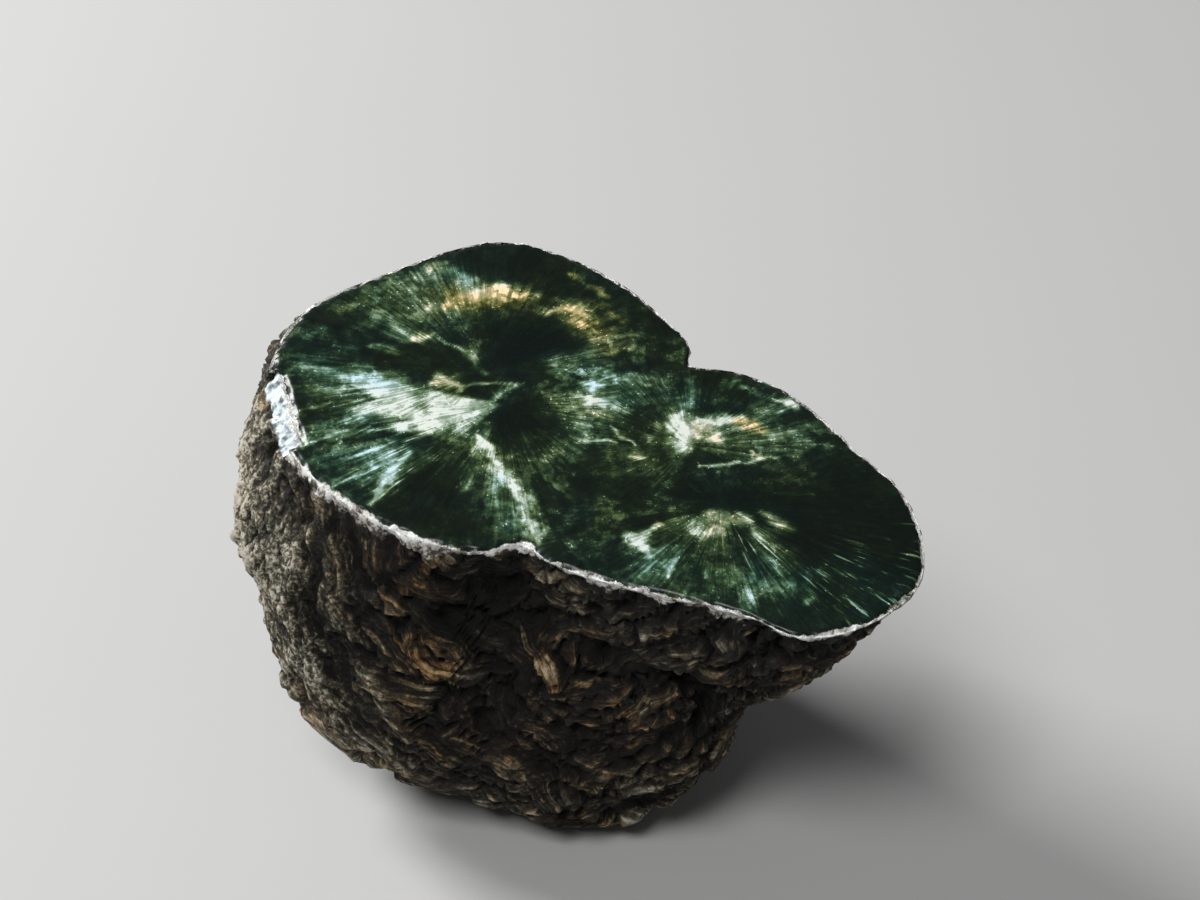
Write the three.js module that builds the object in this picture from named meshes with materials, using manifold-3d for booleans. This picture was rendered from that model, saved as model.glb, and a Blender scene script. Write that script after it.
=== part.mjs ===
// A seraphinite nodule, cut across and polished on the cut, as a three.js model.
// Units are millimetres, +Z is up, and the origin is the middle of the small flat spot that the stone rests
// on. The nodule grew as several round lobes that run into each other. One flat cut crosses it near the top,
// and the rest keeps its dark, flaky natural skin, with ledges, ridges, furrows, pits and hollows.

import * as THREE from "three";
import { ImprovedNoise } from "three/addons/math/ImprovedNoise.js";
import { mergeVertices } from "three/addons/utils/BufferGeometryUtils.js";
import Module from "manifold-3d";

const wasm = await Module();
wasm.setup();

// The cut: the middle of its outline, and how far it leans towards the front (-Y) and towards the right (+X).
const CUT_CENTRE = new THREE.Vector3(2.0, -0.5, 20.3);
const CUT_LEAN_FRONT = THREE.MathUtils.degToRad(10);
const CUT_LEAN_RIGHT = THREE.MathUtils.degToRad(3);

// The cut's outline in its own plane, from the middle: two round lobes that meet at a deep notch behind and a
// shallow one in front. X is to the right and Y is to the back.
const CUT_OUTLINE = [
  [12.9, 0.1], [11.2, 2.4], [9.4, 4.2], [6.6, 5.5], [4.4, 5.8], [4.7, 7.0], [2.2, 10.5], [-1.2, 13.2],
  [-5.6, 14.5], [-11.4, 11.6], [-15.4, 8.4], [-16.9, 3.2], [-15.6, -1.2], [-13.2, -4.2], [-10.2, -6.4],
  [-6.2, -7.8], [-3.6, -7.2], [-2.4, -8.3], [0.8, -9.5], [4.8, -10.5], [7.2, -11.2], [9.6, -12.4],
  [12.6, -11.6], [15.4, -9.0], [15.9, -6.0], [15.0, -2.5],
];
const OUTLINE_STEPS = 720;

// How far the skin may spread outwards for each millimetre below the cut's edge. The left end bulges out, and
// the right end draws in.
const FLARE_AT_CENTRE = 0.15;
const FLARE_LOSS_PER_MM = 0.021;

// A small bevel ground on the left of the cut's edge: its middle in the cut's plane, which way it faces, how
// steeply it drops, and its length.
const BEVEL_MIDDLE = new THREE.Vector3(-15.5, 1.3, 0);
const BEVEL_FACING = THREE.MathUtils.degToRad(196);
const BEVEL_DROP = THREE.MathUtils.degToRad(42);
const BEVEL_LENGTH = 5.4;
const BEVEL_REACH = 6;

// The lobes of the nodule: middle and radii. The skin is their smooth union.
const LOBES = [
  { name: "left", middle: [-4.8, 2.0, 14.2], radii: [12.0, 11.4, 11.4] },
  { name: "left brow", middle: [-5.6, 5.4, 21.0], radii: [10.9, 11.2, 9.0] },
  { name: "right", middle: [9.6, -4.6, 23.6], radii: [11.0, 10.4, 10.4] },
  { name: "right belly", middle: [6.9, -3.4, 14.6], radii: [8.8, 7.2, 7.0] },
  { name: "right ledge", middle: [9.8, -6.2, 15.9], radii: [5.6, 5.6, 4.4] },
  { name: "front foot", middle: [1.1, -4.5, 7.3], radii: [8.0, 6.9, 7.5] },
  { name: "left foot", middle: [-6.0, -1.2, 9.2], radii: [8.8, 8.2, 8.7] },
  { name: "back foot", middle: [-2.5, 5.5, 9.2], radii: [8.8, 7.8, 8.4] },
  { name: "middle foot", middle: [0.2, 0.9, 7.8], radii: [8.2, 7.6, 8.05] },
];
const LOBE_BLEND = 0.8;
const EDGE_BLEND = 0.25;
const NODULE_MIDDLE = new THREE.Vector3(0.4, 0.6, 12.4);
const SEARCH_REACH = 40;
const SEARCH_STRIDE = 0.5;
const SEARCH_HALVINGS = 14;
const SLOPE_STEP = 0.05;

// Hollows in the skin: middle, reach each way, and depth.
const HOLLOWS = [
  { name: "under the front edge", middle: [-3.0, -8.8, 15.6], reach: [3.0, 3.0, 2.0], depth: 1.5 },
  { name: "beside it", middle: [-5.6, -9.4, 14.6], reach: [1.4, 2.0, 2.2], depth: 0.7 },
  { name: "long lens", middle: [0.9, -9.6, 13.8], reach: [2.2, 2.0, 0.7], depth: 0.8 },
  { name: "dark band", middle: [4.4, -10.2, 12.3], reach: [3.4, 2.0, 0.9], depth: 0.9 },
  { name: "upright slot", middle: [-5.9, -9.7, 9.4], reach: [0.8, 2.0, 1.9], depth: 0.9 },
  { name: "under the right edge", middle: [9.6, -12.0, 17.4], reach: [3.6, 2.4, 1.1], depth: 0.9 },
  { name: "behind the leaf", middle: [7.2, -9.3, 9.8], reach: [1.0, 2.6, 2.2], depth: 1.2 },
  { name: "left pit", middle: [-12.9, -6.1, 13.6], reach: [1.2, 1.6, 1.0], depth: 0.6 },
  { name: "lower left pit", middle: [-10.9, -7.6, 11.4], reach: [0.9, 1.4, 1.6], depth: 0.6 },
  { name: "back dimple", middle: [-6.0, 12.6, 15.0], reach: [3.0, 3.0, 2.0], depth: 0.9 },
  { name: "back right dimple", middle: [6.0, 3.0, 12.0], reach: [2.4, 3.0, 2.4], depth: 0.8 },
];

// Ridges on the skin: the line of the crest, half width and height.
const RIDGES = [
  { name: "curved ridge", line: [[-4.2, -10, 9.7], [-1.9, -10.2, 11.1], [0, -10.2, 11.6], [2.2, -10.4, 11.4],
    [4.2, -10.4, 10.6], [6.2, -9.8, 10.2]], width: 0.9, height: 0.7 },
  { name: "upper ridge", line: [[-4.5, -8.5, 18], [-2.6, -8.2, 17.9], [-0.9, -8.4, 17.4], [1, -9.1, 16.6],
    [3, -10, 16.1]], width: 0.6, height: 0.45 },
  { name: "middle ridge", line: [[-1.9, -9.4, 14], [0, -9.3, 15], [2, -9.8, 15], [3.9, -10.6, 14.4]],
    width: 0.6, height: 0.6 },
  { name: "leaf", line: [[5, -10.3, 5.6], [6.5, -9.6, 7.1], [7.3, -8.8, 8.6]], width: 0.8, height: 0.7 },
  { name: "plate", line: [[-7.1, -9.4, 11.6], [-6.9, -9.5, 9.8], [-6.4, -9.5, 7.8]],
    width: 0.6, height: 0.5 },
  { name: "left flute", line: [[-13.6, -4.6, 16.6], [-13.2, -5.8, 12.4], [-11.4, -7.3, 8.4]],
    width: 0.9, height: 0.45 },
];

// Ledges: the line of the lip, the half width of the swell above it and of the groove below it, and the
// height of each.
const LEDGES = [
  { name: "right lip", line: [[6.4, -11.6, 14.6], [9.2, -11.8, 14.4], [11.8, -11, 14.6], [13.8, -8.6, 15.2],
    [14, -6, 15.6]], width: 0.9, height: 0.7 },
  { name: "right ledge", line: [[4.4, -10.6, 13.7], [7, -10.6, 12.5], [9.6, -9.8, 12.2], [11.4, -7.4, 13],
    [11.6, -4.6, 13]], width: 0.8, height: 0.6 },
  { name: "left ledge", line: [[-15.6, 0.4, 12.8], [-14.9, -2.8, 13], [-13.8, -4.8, 12.4]],
    width: 0.9, height: 0.6 },
  { name: "back ledge", line: [[-11, 9.6, 12], [-6, 12.6, 11.2], [-1, 12.4, 12.4], [2.6, 9.4, 12.8]],
    width: 1.1, height: 0.6 },
  { name: "back left ledge", line: [[-16, 4, 10.6], [-13.4, 8.4, 9.4], [-9, 11.4, 8]],
    width: 1, height: 0.5 },
  { name: "back right ledge", line: [[8.6, 3, 16], [12.4, 0.4, 15.6], [14, -3.4, 16.2]],
    width: 1, height: 0.6 },
];

// The low round lobe in front is ribbed like a shell, in arcs round this point.
const SHELL_MIDDLE = new THREE.Vector3(0.8, -10, 11.6);
const SHELL_INNER = 3.0;
const SHELL_OUTER = 8.4;
const SHELL_PITCH = 1.9;
const SHELL_DEPTH = 6;
const SHELL_HEIGHT = 0.2;

// Furrows like those of bark: upright on the left, and sagging across the front like a garland.
const FURROW_DEPTH = 0.55;
const FURROW_SHARPNESS = 3;
const FURROW_ACROSS = 2.6;
const FURROW_ALONG = 6.0;
const FURROW_SAG = 0.05;
const LEFT_BEGINS = -11;
const LEFT_ENDS = -6.5;

// The relief fades out at the cut's edge and at the resting spot.
const EDGE_FADE = [0.2, 1.6];
const REST_FADE = [0.3, 2.2];
const RELIEF_LOW = -1.8;
const RELIEF_HIGH = 0.8;

// The mesh of the skin: points round the cut, rings from its edge down to the lowest point, and the finer
// steps that the rings are spaced by.
const POINTS_ROUND = 132;
const RINGS_DOWN = 34;
const PROFILE_STEPS = 90;

const CUTTER_SIZE = 100;

// The frame of the cut: its normal, and its own X and Y.
const cutNormal = new THREE.Vector3(
  Math.sin(CUT_LEAN_RIGHT),
  -Math.sin(CUT_LEAN_FRONT) * Math.cos(CUT_LEAN_RIGHT),
  Math.cos(CUT_LEAN_FRONT) * Math.cos(CUT_LEAN_RIGHT),
);
const cutX = new THREE.Vector3(0, 1, 0).cross(cutNormal).normalize();
const cutY = cutNormal.clone().cross(cutX);
const cutFrame = new THREE.Matrix4().makeBasis(cutX, cutY, cutNormal).setPosition(CUT_CENTRE);
const intoCutFrame = cutFrame.clone().invert();

const toVector = ([x, y, z]) => new THREE.Vector3(x, y, z);
const lobes = LOBES.map(({ middle, radii }) => ({ middle: toVector(middle), radii: toVector(radii) }));
const hollows = HOLLOWS.map((hollow) => ({
  middle: toVector(hollow.middle),
  reach: toVector(hollow.reach),
  depth: hollow.depth,
}));
const withSegments = (form) => ({ ...form, segments: segmentsOf(form.line.map(toVector)) });
const ridges = RIDGES.map(withSegments);
const ledges = LEDGES.map(withSegments);
const noise = new ImprovedNoise();

const outlineCurve = new THREE.CatmullRomCurve3(
  CUT_OUTLINE.map(([x, y]) => new THREE.Vector3(x, y, 0)),
  true,
  "centripetal",
);
const outline = outlineRadii();

function segmentsOf(points) {
  return points.slice(1).map((end, index) => new THREE.Line3(points[index], end));
}

function angleStep(angle) {
  const turn = angle / (2 * Math.PI);
  return Math.floor((turn - Math.floor(turn)) * OUTLINE_STEPS) % OUTLINE_STEPS;
}

// The outline's radius round the cut's middle, as one value for each small step of angle.
function outlineRadii() {
  const radii = new Array(OUTLINE_STEPS).fill(0);
  for (const sample of outlineCurve.getPoints(OUTLINE_STEPS * 4)) {
    const step = angleStep(Math.atan2(sample.y, sample.x));
    radii[step] = Math.max(radii[step], sample.length());
  }
  return radii;
}

// How far a point lies outside the smooth union of the lobes. It is negative inside.
function outsideLobes(point) {
  let sum = 0;
  for (const { middle, radii } of lobes) {
    const scaled = point.clone().sub(middle).divide(radii).length() - 1;
    sum += Math.exp((-scaled * Math.min(radii.x, radii.y, radii.z)) / LOBE_BLEND);
  }
  return -LOBE_BLEND * Math.log(sum);
}

// How far a point lies outside the walls that run down from the cut's outline, and flare out or draw in with
// depth.
function outsideWalls(point) {
  const local = point.clone().applyMatrix4(intoCutFrame);
  const radius = outline[angleStep(Math.atan2(local.y, local.x))];
  const flare = FLARE_AT_CENTRE - FLARE_LOSS_PER_MM * local.x;
  return Math.hypot(local.x, local.y) - radius - flare * Math.max(0, -local.z);
}

// How far a point lies outside the nodule: outside the lobes, or outside the walls.
function outsideNodule(point) {
  const fromLobes = outsideLobes(point);
  const fromWalls = outsideWalls(point);
  return EDGE_BLEND * Math.log(Math.exp(fromLobes / EDGE_BLEND) + Math.exp(fromWalls / EDGE_BLEND));
}

// The point where a ray from the nodule's middle first leaves it.
function skinPoint(direction) {
  const at = (reach) => NODULE_MIDDLE.clone().addScaledVector(direction, reach);
  let far = SEARCH_STRIDE;
  while (far < SEARCH_REACH && outsideNodule(at(far)) < 0) far += SEARCH_STRIDE;
  let near = far - SEARCH_STRIDE;
  for (let halving = 0; halving < SEARCH_HALVINGS; halving += 1) {
    const middle = (near + far) / 2;
    if (outsideNodule(at(middle)) < 0) near = middle;
    else far = middle;
  }
  return at(near);
}

// The outward direction of the smooth skin at a point.
function skinNormal(point) {
  const slope = new THREE.Vector3();
  for (const axis of ["x", "y", "z"]) {
    const ahead = point.clone();
    const behind = point.clone();
    ahead[axis] += SLOPE_STEP;
    behind[axis] -= SLOPE_STEP;
    slope[axis] = outsideNodule(ahead) - outsideNodule(behind);
  }
  return slope.normalize();
}

// The nearest point to a given one on a chain of line segments.
function nearestOn(segments, point) {
  const candidates = segments.map((segment) => segment.closestPointToPoint(point, true, new THREE.Vector3()));
  candidates.sort((a, b) => a.distanceToSquared(point) - b.distanceToSquared(point));
  return candidates[0];
}

function hollowRelief(point) {
  let relief = 0;
  for (const { middle, reach, depth } of hollows) {
    relief -= depth * Math.exp(-point.clone().sub(middle).divide(reach).lengthSq());
  }
  return relief;
}

function ridgeRelief(point) {
  let relief = 0;
  for (const { segments, width, height } of ridges) {
    const away = nearestOn(segments, point).distanceTo(point) / width;
    relief += height * Math.exp(-away * away);
  }
  return relief;
}

// A ledge swells above its lip and is undercut below it.
function ledgeRelief(point) {
  let relief = 0;
  for (const { segments, width, height } of ledges) {
    const nearest = nearestOn(segments, point);
    const away = nearest.distanceTo(point) / width;
    const above = (point.z - nearest.z) / width;
    relief += height * above * Math.exp(0.5 - (away * away) / 2);
  }
  return relief;
}

function shellRelief(point) {
  const radius = Math.hypot(point.x - SHELL_MIDDLE.x, point.z - SHELL_MIDDLE.z);
  const inFront = THREE.MathUtils.smoothstep(SHELL_MIDDLE.y + SHELL_DEPTH - point.y, 0, SHELL_DEPTH / 2);
  const below = THREE.MathUtils.smoothstep(SHELL_MIDDLE.z - point.z, 0, 2);
  const start = THREE.MathUtils.smoothstep(radius, SHELL_INNER, SHELL_INNER + 1);
  const end = 1 - THREE.MathUtils.smoothstep(radius, SHELL_OUTER - 1, SHELL_OUTER);
  return SHELL_HEIGHT * inFront * below * start * end * Math.sin((2 * Math.PI * radius) / SHELL_PITCH);
}

function furrow(x, y, z) {
  return -FURROW_DEPTH * (1 - Math.abs(noise.noise(x, y, z))) ** FURROW_SHARPNESS;
}

function furrowRelief(point) {
  const { x, y, z } = point;
  const sagged = z - FURROW_SAG * (x - SHELL_MIDDLE.x) ** 2;
  const upright = furrow(x / FURROW_ACROSS, y / FURROW_ACROSS, z / FURROW_ALONG);
  const hanging = furrow(x / FURROW_ALONG, y / FURROW_ALONG, sagged / FURROW_ACROSS);
  const share = THREE.MathUtils.smoothstep(x, LEFT_BEGINS, LEFT_ENDS);
  return THREE.MathUtils.lerp(upright, hanging, share);
}

// How far the skin stands out from the smooth form at a point.
function skinRelief(point) {
  const depth = -point.clone().applyMatrix4(intoCutFrame).z;
  const fadeAtEdge = THREE.MathUtils.smoothstep(depth, ...EDGE_FADE);
  const fadeAtRest = THREE.MathUtils.smoothstep(point.z, ...REST_FADE);
  const relief =
    hollowRelief(point) + ridgeRelief(point) + ledgeRelief(point) + shellRelief(point) + furrowRelief(point);
  return fadeAtEdge * fadeAtRest * THREE.MathUtils.clamp(relief, RELIEF_LOW, RELIEF_HIGH);
}

// Points down the smooth skin from one point of the cut's edge to the bottom, evenly spaced along the skin.
function skinProfile(edgePoint) {
  const start = edgePoint.clone().sub(NODULE_MIDDLE).normalize();
  const turn = new THREE.Quaternion().setFromUnitVectors(start, new THREE.Vector3(0, 0, -1));
  const fine = [edgePoint];
  for (let step = 1; step <= PROFILE_STEPS; step += 1) {
    const part = new THREE.Quaternion().slerp(turn, step / PROFILE_STEPS);
    fine.push(skinPoint(start.clone().applyQuaternion(part)));
  }
  const path = new THREE.CurvePath();
  for (let step = 0; step < PROFILE_STEPS; step += 1) {
    path.add(new THREE.LineCurve3(fine[step], fine[step + 1]));
  }
  const evenly = [];
  for (let ring = 0; ring < RINGS_DOWN; ring += 1) evenly.push(path.getPointAt(ring / RINGS_DOWN));
  return { evenly, bottom: fine[PROFILE_STEPS] };
}

function withRelief(point) {
  return point.clone().addScaledVector(skinNormal(point), skinRelief(point));
}

function solidOf(geometry) {
  const bare = geometry.index ? geometry.toNonIndexed() : geometry.clone();
  bare.deleteAttribute("normal");
  bare.deleteAttribute("uv");
  const merged = mergeVertices(bare, 1e-4);
  return new wasm.Manifold(
    new wasm.Mesh({
      numProp: 3,
      vertProperties: new Float32Array(merged.attributes.position.array),
      triVerts: new Uint32Array(merged.index.array),
    }),
  );
}

function geometryOf(solid) {
  const mesh = solid.getMesh();
  const geometry = new THREE.BufferGeometry();
  geometry.setAttribute("position", new THREE.BufferAttribute(mesh.vertProperties, mesh.numProp));
  geometry.setIndex(new THREE.BufferAttribute(mesh.triVerts, 1));
  geometry.computeVertexNormals();
  return geometry;
}

// The nodule below the cut: rings of skin, closed by the flat cut.
function noduleSolid() {
  const edge = outlineCurve.getSpacedPoints(POINTS_ROUND).slice(0, POINTS_ROUND);
  const profiles = edge.map((corner) => skinProfile(corner.clone().applyMatrix4(cutFrame)));
  const points = [];
  for (let ring = 0; ring < RINGS_DOWN; ring += 1) {
    for (const profile of profiles) {
      points.push(ring === 0 ? profile.evenly[0] : withRelief(profile.evenly[ring]));
    }
  }
  points.push(profiles[0].bottom);

  const faces = [];
  for (let ring = 0; ring < RINGS_DOWN - 1; ring += 1) {
    for (let spot = 0; spot < POINTS_ROUND; spot += 1) {
      const next = (spot + 1) % POINTS_ROUND;
      const upper = ring * POINTS_ROUND;
      const lower = upper + POINTS_ROUND;
      faces.push(upper + spot, lower + spot, upper + next);
      faces.push(upper + next, lower + spot, lower + next);
    }
  }
  const lastRing = (RINGS_DOWN - 1) * POINTS_ROUND;
  for (let spot = 0; spot < POINTS_ROUND; spot += 1) {
    faces.push(lastRing + spot, points.length - 1, lastRing + ((spot + 1) % POINTS_ROUND));
  }
  for (const face of THREE.ShapeUtils.triangulateShape(edge, [])) faces.push(...face);

  const geometry = new THREE.BufferGeometry().setFromPoints(points);
  geometry.setIndex(faces);
  return solidOf(geometry);
}

// A block that takes the bevel off the cut's left edge.
function bevelBlock() {
  const block = new THREE.BoxGeometry(BEVEL_REACH, BEVEL_LENGTH, BEVEL_REACH);
  block.translate(0, 0, BEVEL_REACH / 2);
  block.rotateY(BEVEL_DROP);
  block.rotateZ(BEVEL_FACING);
  block.translate(BEVEL_MIDDLE.x, BEVEL_MIDDLE.y, BEVEL_MIDDLE.z);
  return solidOf(block.applyMatrix4(cutFrame));
}

// A block whose upper face is the plane that the stone rests on.
function restBlock() {
  const block = new THREE.BoxGeometry(CUTTER_SIZE, CUTTER_SIZE, CUTTER_SIZE);
  return solidOf(block.translate(0, 0, -CUTTER_SIZE / 2));
}

const stone = new THREE.Mesh(
  geometryOf(noduleSolid().subtract(bevelBlock()).subtract(restBlock())),
  new THREE.MeshStandardMaterial({ color: 0x2f3a2c, roughness: 0.55, metalness: 0.0 }),
);
stone.name = "seraphinite_nodule";

const part = new THREE.Group();
part.add(stone);

export default part;
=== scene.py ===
"""A seraphinite nodule, cut across: its flaky skin, its silvery edge and the fans of fibres on its cut.

Lengths are millimetres until the mesh is written, and +Z is up. U and V are the right and back directions in
the plane of the cut, measured from the same middle as in the CAD.
"""
import itertools
import math

import bpy
import numpy as np
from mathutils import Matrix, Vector
from mathutils.bvhtree import BVHTree
from mathutils.kdtree import KDTree


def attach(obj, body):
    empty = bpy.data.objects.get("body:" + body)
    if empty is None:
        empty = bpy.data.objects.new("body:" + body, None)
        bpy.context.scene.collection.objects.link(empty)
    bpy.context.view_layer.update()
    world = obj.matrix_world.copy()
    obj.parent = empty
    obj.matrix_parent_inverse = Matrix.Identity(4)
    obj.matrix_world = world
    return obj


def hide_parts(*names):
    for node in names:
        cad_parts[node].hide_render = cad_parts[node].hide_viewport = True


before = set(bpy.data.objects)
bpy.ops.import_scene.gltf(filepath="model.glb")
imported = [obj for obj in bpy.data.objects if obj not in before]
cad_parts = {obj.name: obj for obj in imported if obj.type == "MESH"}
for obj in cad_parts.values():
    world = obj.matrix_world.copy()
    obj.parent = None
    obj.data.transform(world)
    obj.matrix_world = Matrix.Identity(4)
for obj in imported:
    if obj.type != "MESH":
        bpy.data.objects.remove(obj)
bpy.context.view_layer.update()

MM = 0.001
NODE = "seraphinite_nodule"

# The cut's middle, and a point deep inside the stone that sees all of the skin.
CUT_CENTRE = np.array([2.0, -0.5, 20.3])
NODULE_MIDDLE = np.array([0.4, 0.6, 12.4])

# The mesh: two square grids, one over the cut and one over the skin, joined along their edges. Each is laid
# in square rings from the edge of the cut inwards, and this is the number of quads along a side.
GRID = 216
RINGS = GRID // 2
AROUND = 4 * GRID
PROFILE_RAYS = 200
EDGE_RAYS = 2880
EDGE_LIFT = 0.03
# The rings nearest to the edge are close together, at these distances from it.
EDGE_RINGS = [0.0, 0.12, 0.26, 0.42]
SMOOTHING_ROUNDS = 5
HOLLOW_ROUNDS = 250

# The edge of the cut is broken off in a narrow slope: how far it drops, over how many millimetres that
# changes, and the mean, the unevenness and the limits of the change.
EDGE_DROP = 0.26
EDGE_DROP_WAVE = 0.9
EDGE_DROP_MEAN = 0.75
EDGE_DROP_UNEVENNESS = 0.9
EDGE_DROP_LIMITS = (0.1, 1.6)
# The width of the pale line below the edge, in front and at the back, and where it changes in Y.
RIM_FRONT = 0.42
RIM_BACK = 0.16
RIM_TURN = (3.0, -3.0)

# The small bevel ground on the left of the edge: its middle in U and V, which way it faces, its slope, its
# size, and the low ribs across it.
BEVEL_MIDDLE = (-15.5, 1.3)
BEVEL_FACING = math.radians(196)
BEVEL_DROP = math.radians(42)
BEVEL_LENGTH = 5.4
BEVEL_WIDTH = 1.3
BEVEL_RIB_PITCH = 0.62
BEVEL_RIB_HEIGHT = 0.07
# How near the bevel's plane its points are, how its lower edge fades and wanders, and how its ends fade.
BEVEL_NEAR = (0.1, 0.25)
BEVEL_FADE = 0.2
BEVEL_WANDER = 0.3
BEVEL_ENDS = (0.47, 0.52)

# The camera: the photograph's height above the table, its distance, and where the cut's middle is in it.
PICTURE_WIDTH = 1200
PICTURE_HEIGHT = 900
LENS = 90.0
SENSOR = 36.0
ELEVATION = math.radians(36)
MM_PER_PIXEL = 0.05
CUT_PIXEL = (600, 440)

# The middles of the fans on the cut, in U and V.
FANS = {
    "left": (-4.9, 2.2),
    "back": (-5.9, 4.4),
    "right": (4.5, -0.1),
    "front": (6.0, -4.1),
}
# The borders between the fans wander: over about how many millimetres, and how far.
FAN_WOBBLE = (2.2, 0.9)

# What the rays and strokes show: how much light each adds to the cut, how warm it is and how cool. The
# silvery, bluish and creamy kinds are painted sheen of the fibres and the tawny kind a painted reflection;
# green is the stone's own paler green and dark its darker tone.
KINDS = {
    "silver": (1.0, 0.0, 0.0),
    "blue": (0.48, 0.0, 1.0),
    "cream": (0.95, 0.45, 0.0),
    "tan": (0.66, 1.0, 0.0),
    "green": (0.36, 0.0, 0.0),
    "dark": (-0.9, 0.0, 0.0),
}

# Rays of a fan: the way each points and its half spread in degrees, where it begins and ends in millimetres
# from the fan's middle, its kind in KINDS, and how strong it is.
RAYS = {}
RAYS["left"] = [
    (174, 7, 0.6, 10.6, "silver", 0.85),
    (182, 8, 0.6, 9.8, "silver", 0.95),
    (192, 8, 0.6, 8.2, "silver", 0.95),
    (203, 9, 0.4, 6.4, "silver", 0.75),
    (216, 12, 0.4, 4.2, "green", 0.8),
    (168, 7, 5.4, 11.0, "blue", 0.45),
    (196, 8, 6.6, 11.2, "blue", 0.5),
    (211, 8, 5.6, 10.8, "blue", 0.65),
    (221, 8, 5.0, 10.6, "blue", 0.85),
    (245, 14, 1.4, 6.4, "green", 0.75),
    (262, 16, 2.6, 6.8, "green", 0.55),
    (236, 5, 5.6, 10.2, "dark", 0.6),
    (247, 8, 6.4, 10.6, "dark", 0.4),
    (285, 12, 4.2, 7.4, "green", 0.45),
    (-4, 20, 3.4, 7.0, "green", 0.7),
    (-32, 16, 3.2, 5.6, "green", 0.5),
    (-60, 18, 3.0, 5.0, "green", 0.35),
    (14, 9, 2.6, 8.4, "green", 0.6),
    (8, 5, 5.0, 8.8, "blue", 0.5),
    (20, 6, 4.0, 7.6, "blue", 0.4),
    (268, 14, 7.0, 11.0, "dark", 0.45),
]
RAYS["back"] = [
    (18, 12, 3.0, 8.4, "green", 0.5),
    (118, 22, 3.4, 9.2, "green", 0.7),
    (142, 14, 5.0, 9.6, "green", 0.4),
    (96, 14, 4.4, 8.6, "green", 0.5),
    (92, 30, 4.8, 6.6, "tan", 0.4),
    (40, 22, 5.6, 8.0, "tan", 0.3),
    (66, 22, 0.6, 4.6, "dark", 0.9),
    (40, 16, 1.6, 6.6, "dark", 0.7),
    (74, 22, 6.8, 10.4, "dark", 0.7),
    (166, 9, 4.0, 10.4, "dark", 0.5),
    (180, 7, 5.6, 10.4, "blue", 0.4),
]
RAYS["right"] = [
    (100, 40, 1.2, 5.0, "green", 0.45),
    (28, 16, 1.6, 7.6, "green", 0.75),
    (8, 10, 1.0, 8.6, "green", 0.6),
    (-14, 10, 0.8, 6.2, "green", 0.4),
    (175, 18, 1.0, 4.6, "green", 0.55),
    (205, 18, 1.0, 6.2, "green", 0.5),
    (240, 16, 0.8, 3.6, "green", 0.75),
]
RAYS["front"] = [
    (250, 34, 0.9, 4.2, "green", 0.95),
    (262, 24, 0.9, 2.4, "cream", 0.5),
    (222, 16, 1.6, 6.2, "green", 0.6),
    (310, 12, 1.0, 6.6, "green", 0.75),
    (232, 12, 3.6, 7.4, "blue", 0.6),
    (262, 24, 4.0, 7.2, "blue", 0.45),
    (294, 16, 3.8, 8.6, "blue", 0.45),
    (312, 14, 5.4, 12.4, "blue", 0.35),
    (326, 10, 6.0, 12.6, "blue", 0.3),
    (352, 14, 2.6, 12.4, "dark", 0.8),
    (12, 18, 3.4, 11.4, "dark", 0.65),
    (320, 30, 6.4, 13.0, "dark", 0.8),
    (334, 14, 3.4, 6.6, "dark", 0.8),
]
# How softly a ray begins, where it fades out as shares of its length and its end, how its sides fade, and
# how ragged its sides and its end are, which changes over so many degrees and so often in a millimetre.
RAY_SOFTNESS = 0.6
RAY_FADE = (0.35, 1.1)
RAY_SIDES = (0.3, 1.5)
RAY_RAGGED = (0.35, 1.3)
RAGGED_ROUND = 5
RAGGED_ALONG = 0.25
# Where the fibres show as a comb of fine lines of painted sheen: a fan, a direction and half spread, a start
# and end.
COMBS = [
    ("front", 324, 20, 5.8, 13.4),
    ("front", 348, 9, 8.4, 13.0),
    ("front", 300, 18, 1.8, 5.4),
    ("left", 184, 14, 1.5, 9.4),
    ("left", 220, 12, 4.5, 10.0),
]
COMB_SHEEN = 0.6

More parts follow.
